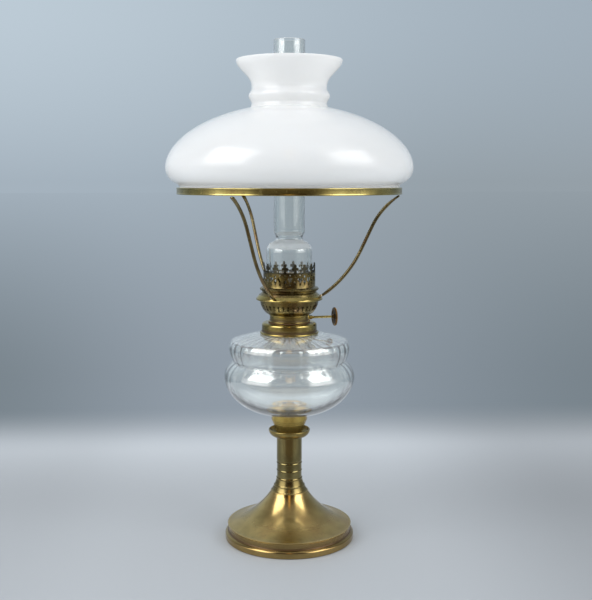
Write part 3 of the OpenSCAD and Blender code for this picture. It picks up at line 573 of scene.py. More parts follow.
# %% [markdown]
# ## Foot and column
#
# The foot is a spun sheet: an upright rim, a small step, a ridge, and then a hollow curve that sweeps up
# to the column, ending in three fine rings. A trumpet like that is a superellipse with a power below 1.
# The column is a plain tube with a turned lower part and two more rings, and a dish stands on its top.


# %% Foot
foot_r, _, foot_top = span("foot_shell")
column_r, _, column_top = span("column_tube")
RIM_H = 7.6
RIDGE_H = 16.2
RIDGE_IN = 2.8
RIM_IN = 4.5
FOOT_WALL = 1.4
TRUMPET_POWER = 0.7
ridge_r = foot_r - RIDGE_IN
rim_inner_r = foot_r - RIM_IN
FOOT_RINGS = [foot_top - 0.7, foot_top - 8.6, foot_top - 14.6]


def trumpet(shift, count):
    """Hollow curve of the foot from the ridge up to the column, moved in and down by the sheet."""
    reach = (ridge_r - column_r, foot_top - RIDGE_H)
    low = arc((column_r, RIDGE_H), reach, TRUMPET_POWER, 0, 62, count)
    high = arc((column_r, RIDGE_H), reach, TRUMPET_POWER, 62, 90, 3 * count)
    return np.concatenate([low, high[1:]]) - shift


foot_outline = np.concatenate([
    [[rim_inner_r, 0], [foot_r - 0.5, 0], [foot_r, 0.5], [foot_r, RIM_H - 1.5], [foot_r - 1.6, RIM_H],
     [ridge_r - 0.5, RIM_H + 0.6], [ridge_r - 0.9, RIM_H + 1.6], [ridge_r - 0.7, RIDGE_H - 2.0],
     [ridge_r, RIDGE_H - 1.0]],
    ringed(trumpet(0, 36), FOOT_RINGS, 0.45, 0.6),
    [[column_r - FOOT_WALL, foot_top]],
    trumpet(FOOT_WALL, 10)[::-1],
    [[rim_inner_r, RIDGE_H - FOOT_WALL - 0.4]]])
dress(turned("spun_foot", rounded(foot_outline, 0.7), 224), brass, "foot_shell")

# %% Column
COLUMN_WALL = 1.3
TURNED_IN = 0.3
TURNED_TOP = foot_top + 18.4
COLUMN_RINGS = [foot_top + 7.9, foot_top + 16.1]
levels = np.linspace(foot_top, TURNED_TOP, 90)
lower = np.stack([np.full_like(levels, column_r - TURNED_IN), levels], axis=1)
column_outline = np.concatenate([
    ringed(lower, COLUMN_RINGS, 0.5, 0.55),
    [[column_r, TURNED_TOP + 0.8], [column_r, column_top], [column_r - COLUMN_WALL, column_top],
     [column_r - COLUMN_WALL, foot_top]]])
dress(turned("column", rounded(column_outline, 0.25), 128), column_brass, "column_tube")

# %% Dish and ferrule
dish_r, dish_z, dish_top = span("column_dish")
ferrule_r, ferrule_z, ferrule_top = span("peg_ferrule")
ROD_HOLE_R = 4.1
DISH_LIP = 1.2
bowl_r = column_r + 1
dish_outline = np.concatenate([
    [[ROD_HOLE_R, dish_z], [column_r + 0.2, dish_z], [column_r + 0.9, dish_z + 0.4]],
    arc((bowl_r, dish_top - DISH_LIP), (dish_r - bowl_r, dish_top - dish_z - DISH_LIP), 1.8, 278, 360, 18),
    [[dish_r, dish_top - 0.5], [dish_r - 0.5, dish_top], [dish_r - 1.2, dish_top]],
    arc((bowl_r + 0.4, dish_top), (dish_r - 1.8 - bowl_r, dish_top - ferrule_z), 1.8, 356, 270, 18),
    [[ROD_HOLE_R, ferrule_z]]])
dress(turned("dish", rounded(dish_outline, 0.35), 128), dish_brass, "column_dish")

FERRULE_STEP = 0.85
FERRULE_STEP_H = 2.1
FERRULE_BAND_H = 7.4
FERRULE_TAPER = 6.1
CUP_FLOOR = 5.2
EDGE = 0.6
steps = [[ferrule_r - (i + out) * FERRULE_STEP, ferrule_top - FERRULE_BAND_H - i * FERRULE_STEP_H + rise]
         for i in (2, 1, 0) for out, rise in ((1, 0), (0, EDGE))]
ferrule_outline = np.array([
    [ROD_HOLE_R, ferrule_z], [ferrule_r - FERRULE_TAPER - EDGE, ferrule_z],
    [ferrule_r - FERRULE_TAPER, ferrule_z + EDGE], *steps,
    [ferrule_r, ferrule_top - EDGE], [ferrule_r - EDGE, ferrule_top], [ferrule_r - 1.4, ferrule_top],
    [ferrule_r - 1.7, ferrule_top - 6], [ferrule_r - 7.5, ferrule_z + CUP_FLOOR],
    [ROD_HOLE_R, ferrule_z + CUP_FLOOR]])
dress(turned("ferrule", rounded(ferrule_outline, 0.4), 128), ferrule_brass, "peg_ferrule")

# %% [markdown]
# ## Font
#
# The font is blown into a mould with ribs, and then blown on until the outside is smooth. The ribs stay on
# the inner face: thirty-two shallow flutes with a narrow ridge between them, deepest on the crown. Modelled
# as a relief of the inner wall they bend the light as they do in the photograph, which a bump could not do.
# Cycles sends little lamp light through modelled glass, so the clear glass casts no shadow here, and the
# brass and the plaster behind it are lit.

# %% Font
font_r, peg_z, neck_top = span("font")
FONT_Z = ferrule_top + 1
BELLY_H = 40
WAIST_RISE = 16.6
SHOULDER_RISE = 14.2
CROWN_RISE = 15.4
ROUND_SHARE = 0.91
DOME_SHARE = 0.446
EDGE_SHARE = 0.19
WAIST_R = 59.5
SHOULDER_R = 64.8
NECK_R = 26.05
NECK_FILLET = 1.6
BOWL_CURVE = 1.85
BELLY_TILT = 57
SHOULDER_TILT = 32
DOME_CURVE = 1.6
GLASS = 3.2
FLOOR = 5.5
BOWL_R = 20
PEG_R = 10.5
RIBS = 32
RIB_DEPTH = 0.8
belly_z = FONT_Z + BELLY_H
waist_z = belly_z + WAIST_RISE
shoulder_z = waist_z + SHOULDER_RISE
crown_z = shoulder_z + CROWN_RISE
belly_round = (font_r - WAIST_R) / (1 - math.cos(math.radians(BELLY_TILT)))
belly_reach = WAIST_RISE / math.sin(math.radians(BELLY_TILT))
shoulder_round = ROUND_SHARE * CROWN_RISE
dome_h = DOME_SHARE * CROWN_RISE
crown_edge_r = SHOULDER_R - EDGE_SHARE * CROWN_RISE


def font_side(wall, floor):
    """Bowl, belly, waist, shoulder and domed crown of the font, set in by the wall and up by the floor."""
    dome_r = np.linspace(crown_edge_r - wall, NECK_R + NECK_FILLET, 24)
    dome_z = crown_z - wall - dome_h * ((dome_r - NECK_R) / (crown_edge_r - NECK_R)) ** DOME_CURVE
    return np.concatenate([
        arc((BOWL_R, belly_z), (font_r - BOWL_R - wall, BELLY_H - floor), BOWL_CURVE, 270, 360, 40),
        arc((font_r - belly_round - wall, belly_z), (belly_round, belly_reach), 2, 4, BELLY_TILT, 22),
        arc((WAIST_R - wall, shoulder_z), (SHOULDER_R - WAIST_R, SHOULDER_RISE), 1.5, 274, 360, 22),
        arc((SHOULDER_R - shoulder_round, shoulder_z), np.full(2, shoulder_round - wall), 2, 4,
            SHOULDER_TILT, 14),
        np.stack([dome_r, dome_z], axis=1)])


def rib_relief(outline, angle):
    """Ridges on the inner wall: one minus the absolute sine of half the rib count times the angle, so each
    flute is round and each ridge is narrow. They are deepest on the crown and fade out towards the floor."""
    ridge = 1 - np.abs(np.sin(RIBS / 2 * angle))
    outer = np.interp(outline[:, 1], font_heights, font_radii)
    inside = outline[:, 0] < outer - GLASS / 2
    level = outline[:, 1]
    depth = np.interp(level, [FONT_Z + FLOOR + 3, belly_z - 8, waist_z, crown_z], [0, 0.08, 0.4, 1.0])
    ridged = inside & (outline[:, 0] > NECK_R + 1) & (level < crown_z + 1)
    return RIB_DEPTH * (depth * ridged)[:, None] * ridge[None, :]


outer_side = font_side(0, 0)
font_heights = outer_side[:, 1]
font_radii = outer_side[:, 0]
font_outline = np.concatenate([
    [[0, peg_z], [PEG_R, peg_z], [PEG_R + 2, ferrule_top - 3], [PEG_R + 4.5, FONT_Z - 0.7]],
    outer_side,
    [[NECK_R, crown_z + NECK_FILLET], [NECK_R, neck_top], [NECK_R - GLASS, neck_top],
     [NECK_R - GLASS, crown_z - GLASS + NECK_FILLET], [NECK_R - GLASS + NECK_FILLET, crown_z - GLASS]],
    font_side(GLASS, FLOOR)[::-1],
    [[0, FONT_Z + FLOOR]]])
oil_font = dress(turned("oil_font", rounded(font_outline, 1.0), RIBS * 9, rib_relief), font_glass, "font")
oil_font.visible_shadow = False

# %% [markdown]
# ## Collar and burner neck
#
# A brass collar is cemented on the neck of the font: a band with a rolled bead at its foot and a rounded
# top, threaded inside. The burner screws into it, and a flange, a short neck and a pierced bowl follow.
# The bowl and the crown round the chimney are pierced sheet, so they stay as the solid model has them,
# with their triangles merged and their edges softened, and so do the tubes, the springs and the bush.

# %% Collar and burner neck
bead_r, collar_z, collar_top = span("font_collar")
COLLAR_R = bead_r - 2.25
THREAD_R = 20.2
collar_outline = np.concatenate([
    [[COLLAR_R - 1, collar_z], [bead_r - 0.8, collar_z]],
    arc((bead_r - 1.1, collar_z + 1.1), (1.1, 1.1), 2, -80, 90, 12),
    [[COLLAR_R + 0.5, collar_z + 2.4], [COLLAR_R, collar_z + 2.9]],
    arc((COLLAR_R - 4, collar_top - 3), (4, 3), 2.2, 0, 90, 14),
    [[THREAD_R, collar_top], [THREAD_R, collar_z + 1.4], [THREAD_R + 1.1, collar_z + 1.4],
     [THREAD_R + 1.1, collar_top - 1.2], [COLLAR_R - 5, collar_top - 1.2], [COLLAR_R - 2, collar_top - 3],
     [COLLAR_R - 1, collar_top - 4]]])
dress(turned("font_neck_collar", rounded(collar_outline, 0.3), 144), burner_brass, "font_collar")

flange_r, plug_z, neck_end = span("burner_base")
neck_r = flange_r - 1.2
SEAL_H = 0.8
SHEET = 0.8
PLUG_R = 19.95
PLUG_WALL = 1.05
PLUG_HOLE_R = 13.7
flange_z = span("burner_seal")[1] + SEAL_H
base_outline = np.array([
    [PLUG_HOLE_R, plug_z], [PLUG_R, plug_z], [PLUG_R, flange_z], [flange_r, flange_z],
    [flange_r, flange_z + SHEET], [neck_r + 0.1, flange_z + 1.0], [neck_r - 0.5, flange_z + 1.9],
    [neck_r - 0.5, neck_end - 1.6], [neck_r, neck_end - 1.0], [neck_r, neck_end], [neck_r - 2.1, neck_end],
    [neck_r - 2.1, neck_end - SHEET], [neck_r - 1.3, neck_end - SHEET], [neck_r - 1.3, flange_z + SHEET],
    [PLUG_R - PLUG_WALL, flange_z + SHEET], [PLUG_R - PLUG_WALL, plug_z + 1], [PLUG_HOLE_R, plug_z + 1]])
dress(turned("burner_neck", rounded(base_outline, 0.3), 128), burner_brass, "burner_base")
refined("air_basket", "pierced_basket", pierced_brass)
refined("gallery", "pierced_gallery", pierced_brass)
for node in ("wick_tube", "draft_tube", "chimney_springs", "spindle_bush", "deck_ring"):
    refined(node, node + "_smooth", burner_brass, 0.08)

# %% [markdown]
# ## Wick
#
# The wick is a flat cotton plait rolled into a tube, open at one side in its lower part, where the air duct
# passes. It is soft, so the plain solid is replaced: two grids, a full ring above and an open ring below,
# each a rounded strip of cotton carried round the axis, with a UV map for the plait.


# %% Wick
def cotton_ring(inner, outer, bottom, top, start, stop, columns=160):
    """Closed band between two radii: a rounded section carried from the start to the stop angle, with its
    ends drawn to a line where the ring is open. Returns points, faces and the place along the plait."""
    section = rounded([[inner, bottom], [outer, bottom], [outer, top], [inner, top]], 0.7, 5)
    full = stop - start >= 359.9
    angle = np.radians(np.linspace(start, stop, columns, endpoint=not full))
    fluff = 0.06 * np.sin(THREADS * angle)[None, :] * np.cos(section[:, 1:] * 2.3)
    radius = section[:, :1] + fluff * np.sign(section[:, :1] - (inner + outer) / 2)
    shrink = np.ones(columns)
    if not full:
        shrink[[0, -1]] = 0
    radius = (inner + outer) / 2 + (radius - (inner + outer) / 2) * shrink[None, :]
    height = np.repeat(section[:, 1:], columns, axis=1)
    points = np.stack([radius * np.cos(angle), radius * np.sin(angle), height], axis=-1)
    return points, grid_faces(len(section), columns, True, full), np.degrees(angle) / 360


wick_outer, wick_low, wick_high = span("wick")
WICK_T = 2.4
WICK_GAP_TOP = 261.0
DUCT_HALF = 6.2
half_gap = math.degrees(math.asin(DUCT_HALF / (wick_outer - WICK_T)))
bands = [cotton_ring(wick_outer - WICK_T, wick_outer, WICK_GAP_TOP, wick_high, 0, 360),
         cotton_ring(wick_outer - WICK_T, wick_outer, wick_low, WICK_GAP_TOP, half_gap - 180, 180 - half_gap)]
wick_points = np.concatenate([points.reshape(-1, 3) for points, _, _ in bands])
wick_faces = np.concatenate([bands[0][1], bands[1][1] + bands[0][0].shape[0] * bands[0][0].shape[1]])
wick = new_piece("cotton_wick", wick_points, wick_faces)
weave = wick.data.uv_layers.new(name="weave")
corner = np.empty(len(wick.data.loops), np.int32)
wick.data.loops.foreach_get("vertex_index", corner)
spot = np.empty(len(wick.data.vertices) * 3, np.float32)
wick.data.vertices.foreach_get("co", spot)
spot = spot.reshape(-1, 3)[corner] / MM
turn_share = np.arctan2(spot[:, 1], spot[:, 0]) / math.tau
weave.data.foreach_set("uv", np.stack([turn_share, spot[:, 2] - wick_low], axis=1).ravel())
dress(wick, cotton, "wick")

# %% [markdown]
# ## Wick knob
#
# The thumb wheel is a thin bronze disc on a long spindle, with a notched rim so that wet fingers can turn it.
# It is turned about the X axis with the same function: the relief cuts forty notches, on the rim only, and
# the faces are dished so that the hub and the rim stand proud.

# %% Knob and spindle
knob_low, knob_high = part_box("wick_knob")
knob_r = knob_high.y / MM
spindle_z = (knob_low.z + knob_high.z) / 2 / MM
hub_half = (knob_high.x - knob_low.x) / 2 / MM
knob_x = (knob_low.x + knob_high.x) / 2 / MM
HUB_R = 2.6
RIM_HALF = 1.1
NOTCHES = 40


def notch_relief(outline, angle):
    """Grooves on the rim: a raised cosine to the second power, where the radius is within a millimetre."""
    rim = np.clip((outline[:, 0] - knob_r + 1.0) / 0.5, 0, 1)
    return -0.42 * rim[:, None] * (0.5 + 0.5 * np.cos(NOTCHES * angle))[None, :] ** 2


half_side = np.array([
    [knob_r - 0.45, RIM_HALF], [knob_r - 1.6, RIM_HALF], [knob_r - 2.6, 0.5], [HUB_R + 1.2, 0.55],
    [HUB_R + 0.2, 0.9], [HUB_R, hub_half - 0.3], [HUB_R - 0.4, hub_half]])
SPINDLE_R = 1.3
knob_outline = np.concatenate([
    half_side, [[SPINDLE_R, hub_half], [SPINDLE_R, -hub_half]], half_side[::-1] * [1, -1],
    [[knob_r, -0.45], [knob_r, 0.45]]])
knob = turned("thumb_wheel", rounded(knob_outline, 0.35, 4), NOTCHES * 8, notch_relief, "x",
              (knob_x, 0, spindle_z))
dress(knob, knob_bronze, "wick_knob")

spindle_low, spindle_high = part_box("wick_spindle")
spindle_start = spindle_low.x / MM
spindle_end = spindle_high.x / MM
spindle_outline = np.array([
    [0, spindle_start], [SPINDLE_R, spindle_start], [SPINDLE_R, spindle_end - 0.6],
    [SPINDLE_R - 0.5, spindle_end], [0, spindle_end]])
spindle = turned("spindle", rounded(spindle_outline, 0.3), 48, None, "x", (0, 0, spindle_z))
dress(spindle, burner_brass, "wick_spindle")

# %% [markdown]
# ## Tripod
#
# Three bent rods are soldered to a turned collar and riveted under the shade ring. Each rod bends upwards,
# runs straight and bends back. Such a line is easiest to give by its heading: the angle grows along the
# first bend, stays, and falls along the second, and adding up small steps gives the path. A flattened
# circle is carried along it, thinner where the ends are hammered flat.

# %% Tripod collar and ring
tripod_r, skirt_z, tripod_top = span("tripod_collar")
SKIRT_T = 1
SKIRT_H = 1.2
TRIPOD_INNER_R = tripod_r - 3.6
deck_top = skirt_z + SKIRT_H
collar_corners = [
    [TRIPOD_INNER_R, deck_top], [tripod_r - SKIRT_T, deck_top], [tripod_r - SKIRT_T, skirt_z],
    [tripod_r - 0.3, skirt_z], [tripod_r, skirt_z + 0.3], [tripod_r, deck_top + 0.2],
    [tripod_r - 0.2, deck_top + 0.6], [TRIPOD_INNER_R + 0.5, tripod_top], [TRIPOD_INNER_R, tripod_top]]
dress(turned("tripod_base", rounded(collar_corners, 0.45), 160), burner_brass, "tripod_collar")

ring_r, ring_z, ring_top = span("shade_ring")
RING_WALL = 0.9
RING_INNER_R = 109
ring_corners = [
    [RING_INNER_R, ring_z], [ring_r - 0.5, ring_z], [ring_r, ring_z + 0.5], [ring_r - 0.35, ring_z + 1.6],
    [ring_r - 0.35, ring_top - 1.6], [ring_r, ring_top - 0.9], [ring_r - 0.2, ring_top - 0.2],
    [ring_r - RING_WALL, ring_top], [ring_r - RING_WALL, ring_z + RING_WALL],
    [RING_INNER_R, ring_z + RING_WALL]]
dress(turned("shade_carrier", rounded(ring_corners, 0.3), 256), ring_brass, "shade_ring")

# %% Rods
ROD_R = 1.8
ARM_ANGLES = {"arm_right": -13, "arm_back": 105, "arm_left": 229}
HEADINGS = np.radians([34, 65, 32])
LOWER_BEND = 120
arm_root = np.array([tripod_r - 1.4, deck_top + 2.3])
arm_end = np.array([ring_r - 2, ring_z - 1.2])


def bend_shift(start, stop):
    """Travel along a bend of radius 1 between two headings."""
    return np.array([np.sin(stop) - np.sin(start), np.cos(start) - np.cos(stop)])


root, middle, end = HEADINGS
left_over = arm_end - arm_root - LOWER_BEND * bend_shift(root, middle)
sides = np.stack([[np.cos(middle), np.sin(middle)], -bend_shift(middle, end)], axis=1)
straight, upper_bend = np.linalg.solve(sides, left_over)
stretches = np.cumsum([0, LOWER_BEND * (middle - root), straight, upper_bend * (middle - end)])


def rod_path(count=170):
    """Length, heading and points of a rod: the heading is piecewise linear in the length, and the points
    are the running sum of cosine and sine of the heading."""
    length = np.linspace(0, stretches[-1], count)
    heading = np.interp(length, stretches, [root, middle, middle, end])
    way = np.stack([np.cos(heading), np.sin(heading)], axis=1)
    step = (way[1:] + way[:-1]) / 2 * np.diff(length)[:, None]
    return length, heading, arm_root + np.concatenate([[[0, 0]], np.cumsum(step, axis=0)])


def rod(name, turn, columns=28):
    """Circle carried along the path and flattened at both ends, which close in a small dome."""
    length, heading, path = rod_path()
    left = stretches[-1] - length
    flat = np.interp(left, [0, 5, 16], [0.62, 0.66, 1.0]) * np.interp(length, [0, 9], [0.75, 1.0])
    wide = np.interp(left, [0, 4, 14], [1.45, 1.4, 1.0]) * np.interp(length, [0, 8], [1.25, 1.0])
    dome = np.sqrt(np.clip(1 - (1 - np.minimum(left, length) / 1.6).clip(0, 1) ** 2, 0, 1))
    phase = np.linspace(0, math.tau, columns, endpoint=False)
    up = ROD_R * (flat * dome)[:, None] * np.cos(phase)
    across = ROD_R * (wide * dome)[:, None] * np.sin(phase)
    out = path[:, :1] - np.sin(heading)[:, None] * up
    level = path[:, 1:] + np.cos(heading)[:, None] * up
    cos, sin = math.cos(math.radians(turn)), math.sin(math.radians(turn))
    points = np.stack([out * cos - across * sin, out * sin + across * cos, level], axis=-1)
    return new_piece(name, points, grid_faces(len(length), columns, False, True))


print("rod:", round(stretches[-1], 1), "mm long, upper bend", round(upper_bend, 1), "mm")
for node, turn in ARM_ANGLES.items():
    dress(rod(node.replace("arm", "rod"), turn), rod_bronze, node)

# %% Solder at the roots
LUMP_R = 1.6
LUMP_IN = 1.9
LUMP_ROWS = 17
LUMP_COLUMNS = 32
lump_angle = np.linspace(0, math.tau, LUMP_COLUMNS, endpoint=False)[None, :]
lump_rise = np.linspace(-math.pi / 2, math.pi / 2, LUMP_ROWS)[:, None]
lump = np.stack([np.cos(lump_rise) * np.cos(lump_angle), np.cos(lump_rise) * np.sin(lump_angle),
                 np.sin(lump_rise) * np.ones_like(lump_angle)], axis=-1)
lump *= LUMP_R * (1 + 0.10 * np.sin(3 * lump_angle + 2 * lump_rise) * np.cos(lump_rise))[..., None]
lumps = []
for turn in ARM_ANGLES.values():
    towards = math.radians(turn - 4.5)
    out = tripod_r - LUMP_IN
    centre = [out * math.cos(towards), out * math.sin(towards), deck_top + 3.0]
    lumps.append((lump * [1.15, 1.15, 0.85] + centre).reshape(-1, 3))
lump_faces = [grid_faces(LUMP_ROWS, LUMP_COLUMNS, False, True, first=i * LUMP_ROWS * LUMP_COLUMNS)
              for i in range(len(lumps))]
dress(new_piece("solder_beads", np.concatenate(lumps), np.concatenate(lump_faces)), solder, "arm_rivets")

# %% [markdown]
# ## Shade and chimney
#
# The shade is one blown shell of opal glass: a low lip that drops into the ring, a rolled-out belly, a dome,
# a neck with a soft bead and a flared top. The chimney is drawn clear tube with a wide foot, a shoulder
# and a throat. Both are two sides of an outline, the glass wall apart, with fire-polished edges.

# %% Shade
_, shade_z, shade_top = span("shade")
SHADE_R = 129.0
SHADE_WALL = 3.2
LIP_R = ring_r - RING_WALL - 1.9
LIP_H = 8.3
ROLL_H = 26.8
DOME_H = 61.8
DOME_POWER = 1.88
SHADE_NECK_R = 39.1
FLARE = 16
FLARE_RISE = 21
BEAD_OUT = 3.1
BEAD_RISE = 11.6
BEAD_HALF = 7.9
ROLL_REACH = 17.3


def shade_side(wall):
    """Lip, roll, dome, bead and flare of the shade, set in by the wall."""
    roll_z = shade_z + ROLL_H
    dome_end = roll_z + DOME_H
    neck = SHADE_NECK_R - wall
    dome = SHADE_R - wall
    last = math.degrees(math.acos((neck / dome) ** (DOME_POWER / 2)))
    dome_reach = (DOME_H - wall) / math.sin(math.radians(last)) ** (2 / DOME_POWER)
    bead = np.linspace(-1, 1, 28)[:, None]
    flare = np.linspace(0, 1, 34)[:, None]
    flare_z = dome_end + FLARE_RISE
    return np.concatenate([
        [[LIP_R - wall, shade_z], [LIP_R - wall, shade_z + LIP_H + wall / 2]],
        arc((SHADE_R - ROLL_REACH, roll_z), (ROLL_REACH - wall, ROLL_H - LIP_H - 1 - wall / 2), 2,
            290, 354, 22),
        arc((0, roll_z), (dome, dome_reach), DOME_POWER, 0, last - 0.6, 70),
        np.concatenate([neck + BEAD_OUT * np.cos(math.pi / 2 * bead) ** 2,
                        dome_end + BEAD_RISE + BEAD_HALF * bead], axis=1),
        np.concatenate([neck + FLARE * (1 - (1 - flare**2.2) ** 2.5),
                        flare_z + (shade_top - flare_z) * flare], axis=1)])


shade_outline = np.concatenate([shade_side(0), shade_side(SHADE_WALL)[::-1]])
dress(turned("opal_shade", rounded(shade_outline, 1.3, 8), 224), shade_glass, "shade")

# %% Chimney
chimney_r, ledge_top, chimney_top = span("chimney")
CHIMNEY_WALL = 1.9
BULB_H = 38.8
BULB_ROUND = 11.7
BULB_TILT = 70
THROAT_R = 14
FLARE_H = 6.6
TUBE_R = 16.5


def chimney_side(wall):
    """Wide foot, round shoulder, throat and tube of the chimney, set in by the wall."""
    bulb_z = ledge_top + BULB_H
    tilt = math.radians(BULB_TILT)
    throat_round = (chimney_r - THROAT_R) / (1 - math.cos(tilt)) - BULB_ROUND
    throat_z = bulb_z + (BULB_ROUND + throat_round) * math.sin(tilt)
    rise = np.linspace(0.06, 1, 22)[:, None]
    swell = THROAT_R - wall + (TUBE_R - THROAT_R) * (1 - np.cos(math.pi * rise)) / 2
    return np.concatenate([
        [[chimney_r - wall, ledge_top]],
        arc((chimney_r - BULB_ROUND, bulb_z), np.full(2, BULB_ROUND - wall), 2, 0, BULB_TILT, 24),
        arc((THROAT_R + throat_round, throat_z), np.full(2, throat_round + wall), 2,
            180 + BULB_TILT, 180, 18)[1:],
        np.concatenate([swell, throat_z + FLARE_H * rise], axis=1),
        [[TUBE_R - wall, chimney_top]]])


chimney_outline = np.concatenate([chimney_side(0), chimney_side(CHIMNEY_WALL)[::-1]])
chimney = dress(turned("glass_chimney", rounded(chimney_outline, 0.85, 8), 160), chimney_glass, "chimney")
chimney.visible_shadow = False

# %% [markdown]
# ## Pieces that keep their solid
#
# What sits inside keeps the shape of the solid model and only gets its finish: the weight, the fasteners,
# the cement, the washer, the duct, the pinion and the wick carrier.

# %% Finishes for the inner pieces
inner_finishes = {
    "foot_weight": iron, "foot_cover": steel, "tie_rod": steel, "tie_washer": steel, "tie_nut": steel,
    "wick_pinion": steel, "column_sleeve": brass, "air_duct": burner_brass, "wick_carrier": burner_brass,
    "peg_cement": plaster, "neck_cement": plaster, "burner_seal": leather}
for node, finish in inner_finishes.items():
    for material_slot in frame["nodes"][node].material_slots:
        material_slot.material = finish.material
print("kept solids:", ", ".join(inner_finishes))

# %% [markdown]
# ## Camera
#
# The camera stands a metre away, about as high as the shade ring, and looks slightly down. It is 13 degrees
# to the left of the Y axis, because the knob points along X and turns away from the viewer by that much.

# %% Camera
IMAGE_H = 600
AXIS_OFFSET = 6.7
VIEW_TURN = math.radians(-13)
VIEW_TILT = math.radians(7.105)
VIEW_DISTANCE = 1.0136
VIEW_HEIGHT = 0.3862
ahead = Vector((-math.sin(VIEW_TURN), math.cos(VIEW_TURN), 0))
to_right = Vector((math.cos(VIEW_TURN), math.sin(VIEW_TURN), 0))
camera_data = bpy.data.cameras.new("camera")
camera_data.lens = 57.55
camera_data.sensor_width = 36
camera_data.shift_x = AXIS_OFFSET / IMAGE_H
camera = put("camera", camera_data)
camera.location = -VIEW_DISTANCE * ahead + Vector((0, 0, VIEW_HEIGHT))
camera.rotation_euler = (math.pi / 2 - VIEW_TILT, 0, VIEW_TURN)
bpy.context.scene.camera = camera
print("camera at", [round(v, 3) for v in camera.location])

# %% [markdown]
# ## Light and backdrop
#
# Two soft boxes stand in front, left and right of the camera and above the lamp. At their level the white
# shade stays below full white, apart from its highlights. A dim, even world fills the shadows. Brass and
# glass look like what they mirror, so the world has a second face for the rays that are seen: from the
# camera, off brass and through glass. The camera sees a pale grey-blue backdrop all round. Brass mirrors a
# dark room in front, bright sides, a dimmer rear, a ceiling and a narrow warm strip, and glass shows middle
# grey in place of the dark. The floor works in the same way: pale to the camera, dark in front where brass
# mirrors it, and lighter than it looks where it only sends light back on the lamp.


# %% Light
LAMP_TARGET = Vector((0, 0, 0.25))
LAMP_DISTANCE = 1.3


def soft_box(name, turn, rise, size, power):
    """Area lamp at a bearing from the camera's direction and a height angle, in degrees, facing the lamp."""
    turn = math.radians(turn)
    rise = math.radians(rise)
    bearing = -math.cos(turn) * ahead + math.sin(turn) * to_right
    lamp_data = bpy.data.lights.new(name, "AREA")
    lamp_data.shape = "RECTANGLE"
    lamp_data.size, lamp_data.size_y = size
    lamp_data.energy = power
    lamp = put(name, lamp_data)
    lamp.location = LAMP_TARGET + LAMP_DISTANCE * (math.cos(rise) * bearing + Vector((0, 0, math.sin(rise))))
    lamp.rotation_euler = (LAMP_TARGET - lamp.location).to_track_quat("-Z", "Y").to_euler()
    print(name, "at", [round(v, 2) for v in lamp.location], "with", power, "W")


soft_box("left_box", -60, 37.5, (0.92, 0.86), 6.9)
soft_box("right_box", 61, 33.5, (0.76, 0.69), 4.6)

# %% [markdown]
# ## World
#
# Going round from the camera, the tones of the room follow each other by bearing: 0 degrees is towards the
# camera and 180 towards the backdrop. Each pair of numbers below is where one tone turns into the next, in
# degrees of bearing or in the upward share of the direction. An image of a room would do the same, but a few
# soft steps are easier to move until the highlights sit where they should.

# %% World
SKY_TOP = 0.17
SKY_CURVE = 1.6
SKY_SPAN = (-0.35, 0.35)
HORIZON_SPAN = (-0.2, 0.22)
FRONT_TO_SIDE = (28.0, 46.0)
SIDE_TO_REAR = (74.0, 98.0)
REAR_TO_SKY = (100.0, 145.0)
SIDE_TO_CEILING = (0.72, 0.97)
STRIP_EDGE = (3.0, 7.0)
STRIP_LOW = (0.42, 0.55)
STRIP_HIGH = (0.86, 0.94)
HORIZON_LEFT = (0.376, 0.446, 0.512, 1.0)
HORIZON_RIGHT = (0.300, 0.350, 0.390, 1.0)
SKY_LEFT = (0.51, 0.60, 0.675, 1.0)
SKY_RIGHT = (0.36, 0.43, 0.495, 1.0)
SIDE_LIGHT = (2.10, 2.08, 2.02, 1.0)
CEILING = (0.46, 0.47, 0.47, 1.0)
DARK_ROOM = (0.07, 0.046, 0.03, 1.0)
WARM_STRIP = (1.35, 0.88, 0.38, 1.0)
REAR_SIDE = (0.26, 0.27, 0.28, 1.0)
THROUGH_GLASS = (0.50, 0.54, 0.57, 1.0)
FILL = (0.92, 0.96, 1.0, 1.0)
FILL_STRENGTH = 0.64


def ray(finish, kind):
    """1 for rays of one kind: Camera, Glossy or Transmission."""
    return finish.add("ShaderNodeLightPath", output=f"Is {kind} Ray")


def seen_rays(finish):
    """1 for rays from the camera, off brass and through glass, 0 for the light that falls on things."""
    shown = ray(finish, "Camera") + ray(finish, "Glossy")
    return shown.math("ADD", ray(finish, "Transmission"), clamp=True)


def horizon(finish, slant):
    """Backdrop where floor and sky meet, from left to right; slant is the tangent of the bearing."""
    return finish.mix(finish.ramp(slant, *HORIZON_SPAN), HORIZON_LEFT, HORIZON_RIGHT)


def bearing_of(across, forwards):
    """Angle in degrees from the camera's side of the lamp: 0 towards the camera, 180 to the backdrop."""
    return across.math("ARCTAN2", forwards * -1.0).math("ABSOLUTE") * math.degrees(1)


world = bpy.data.worlds.new("studio")
world.use_nodes = True
bpy.context.scene.world = world
room = Finish("studio", world.node_tree)
sky_x, sky_y, sky_z = room.xyz(room.add("ShaderNodeTexCoord", output="Generated"))
sideways = sky_x * to_right.x + sky_y * to_right.y
bearing = bearing_of(sideways, sky_x * ahead.x + sky_y * ahead.y)
sky = room.mix(room.ramp(sideways, *SKY_SPAN), SKY_LEFT, SKY_RIGHT)
sky_share = 1 - (1 - sky_z / SKY_TOP).math("MAXIMUM", 0.0) ** SKY_CURVE
sky = room.mix(sky_share, horizon(room, sideways), sky)
bent = ray(room, "Transmission")
around = room.mix(room.ramp(bearing, *FRONT_TO_SIDE), room.mix(bent, DARK_ROOM, THROUGH_GLASS), SIDE_LIGHT)
around = room.mix(room.ramp(bearing, *SIDE_TO_REAR), around, room.mix(bent, REAR_SIDE, THROUGH_GLASS))
around = room.mix(room.ramp(bearing, *REAR_TO_SKY), around, sky)
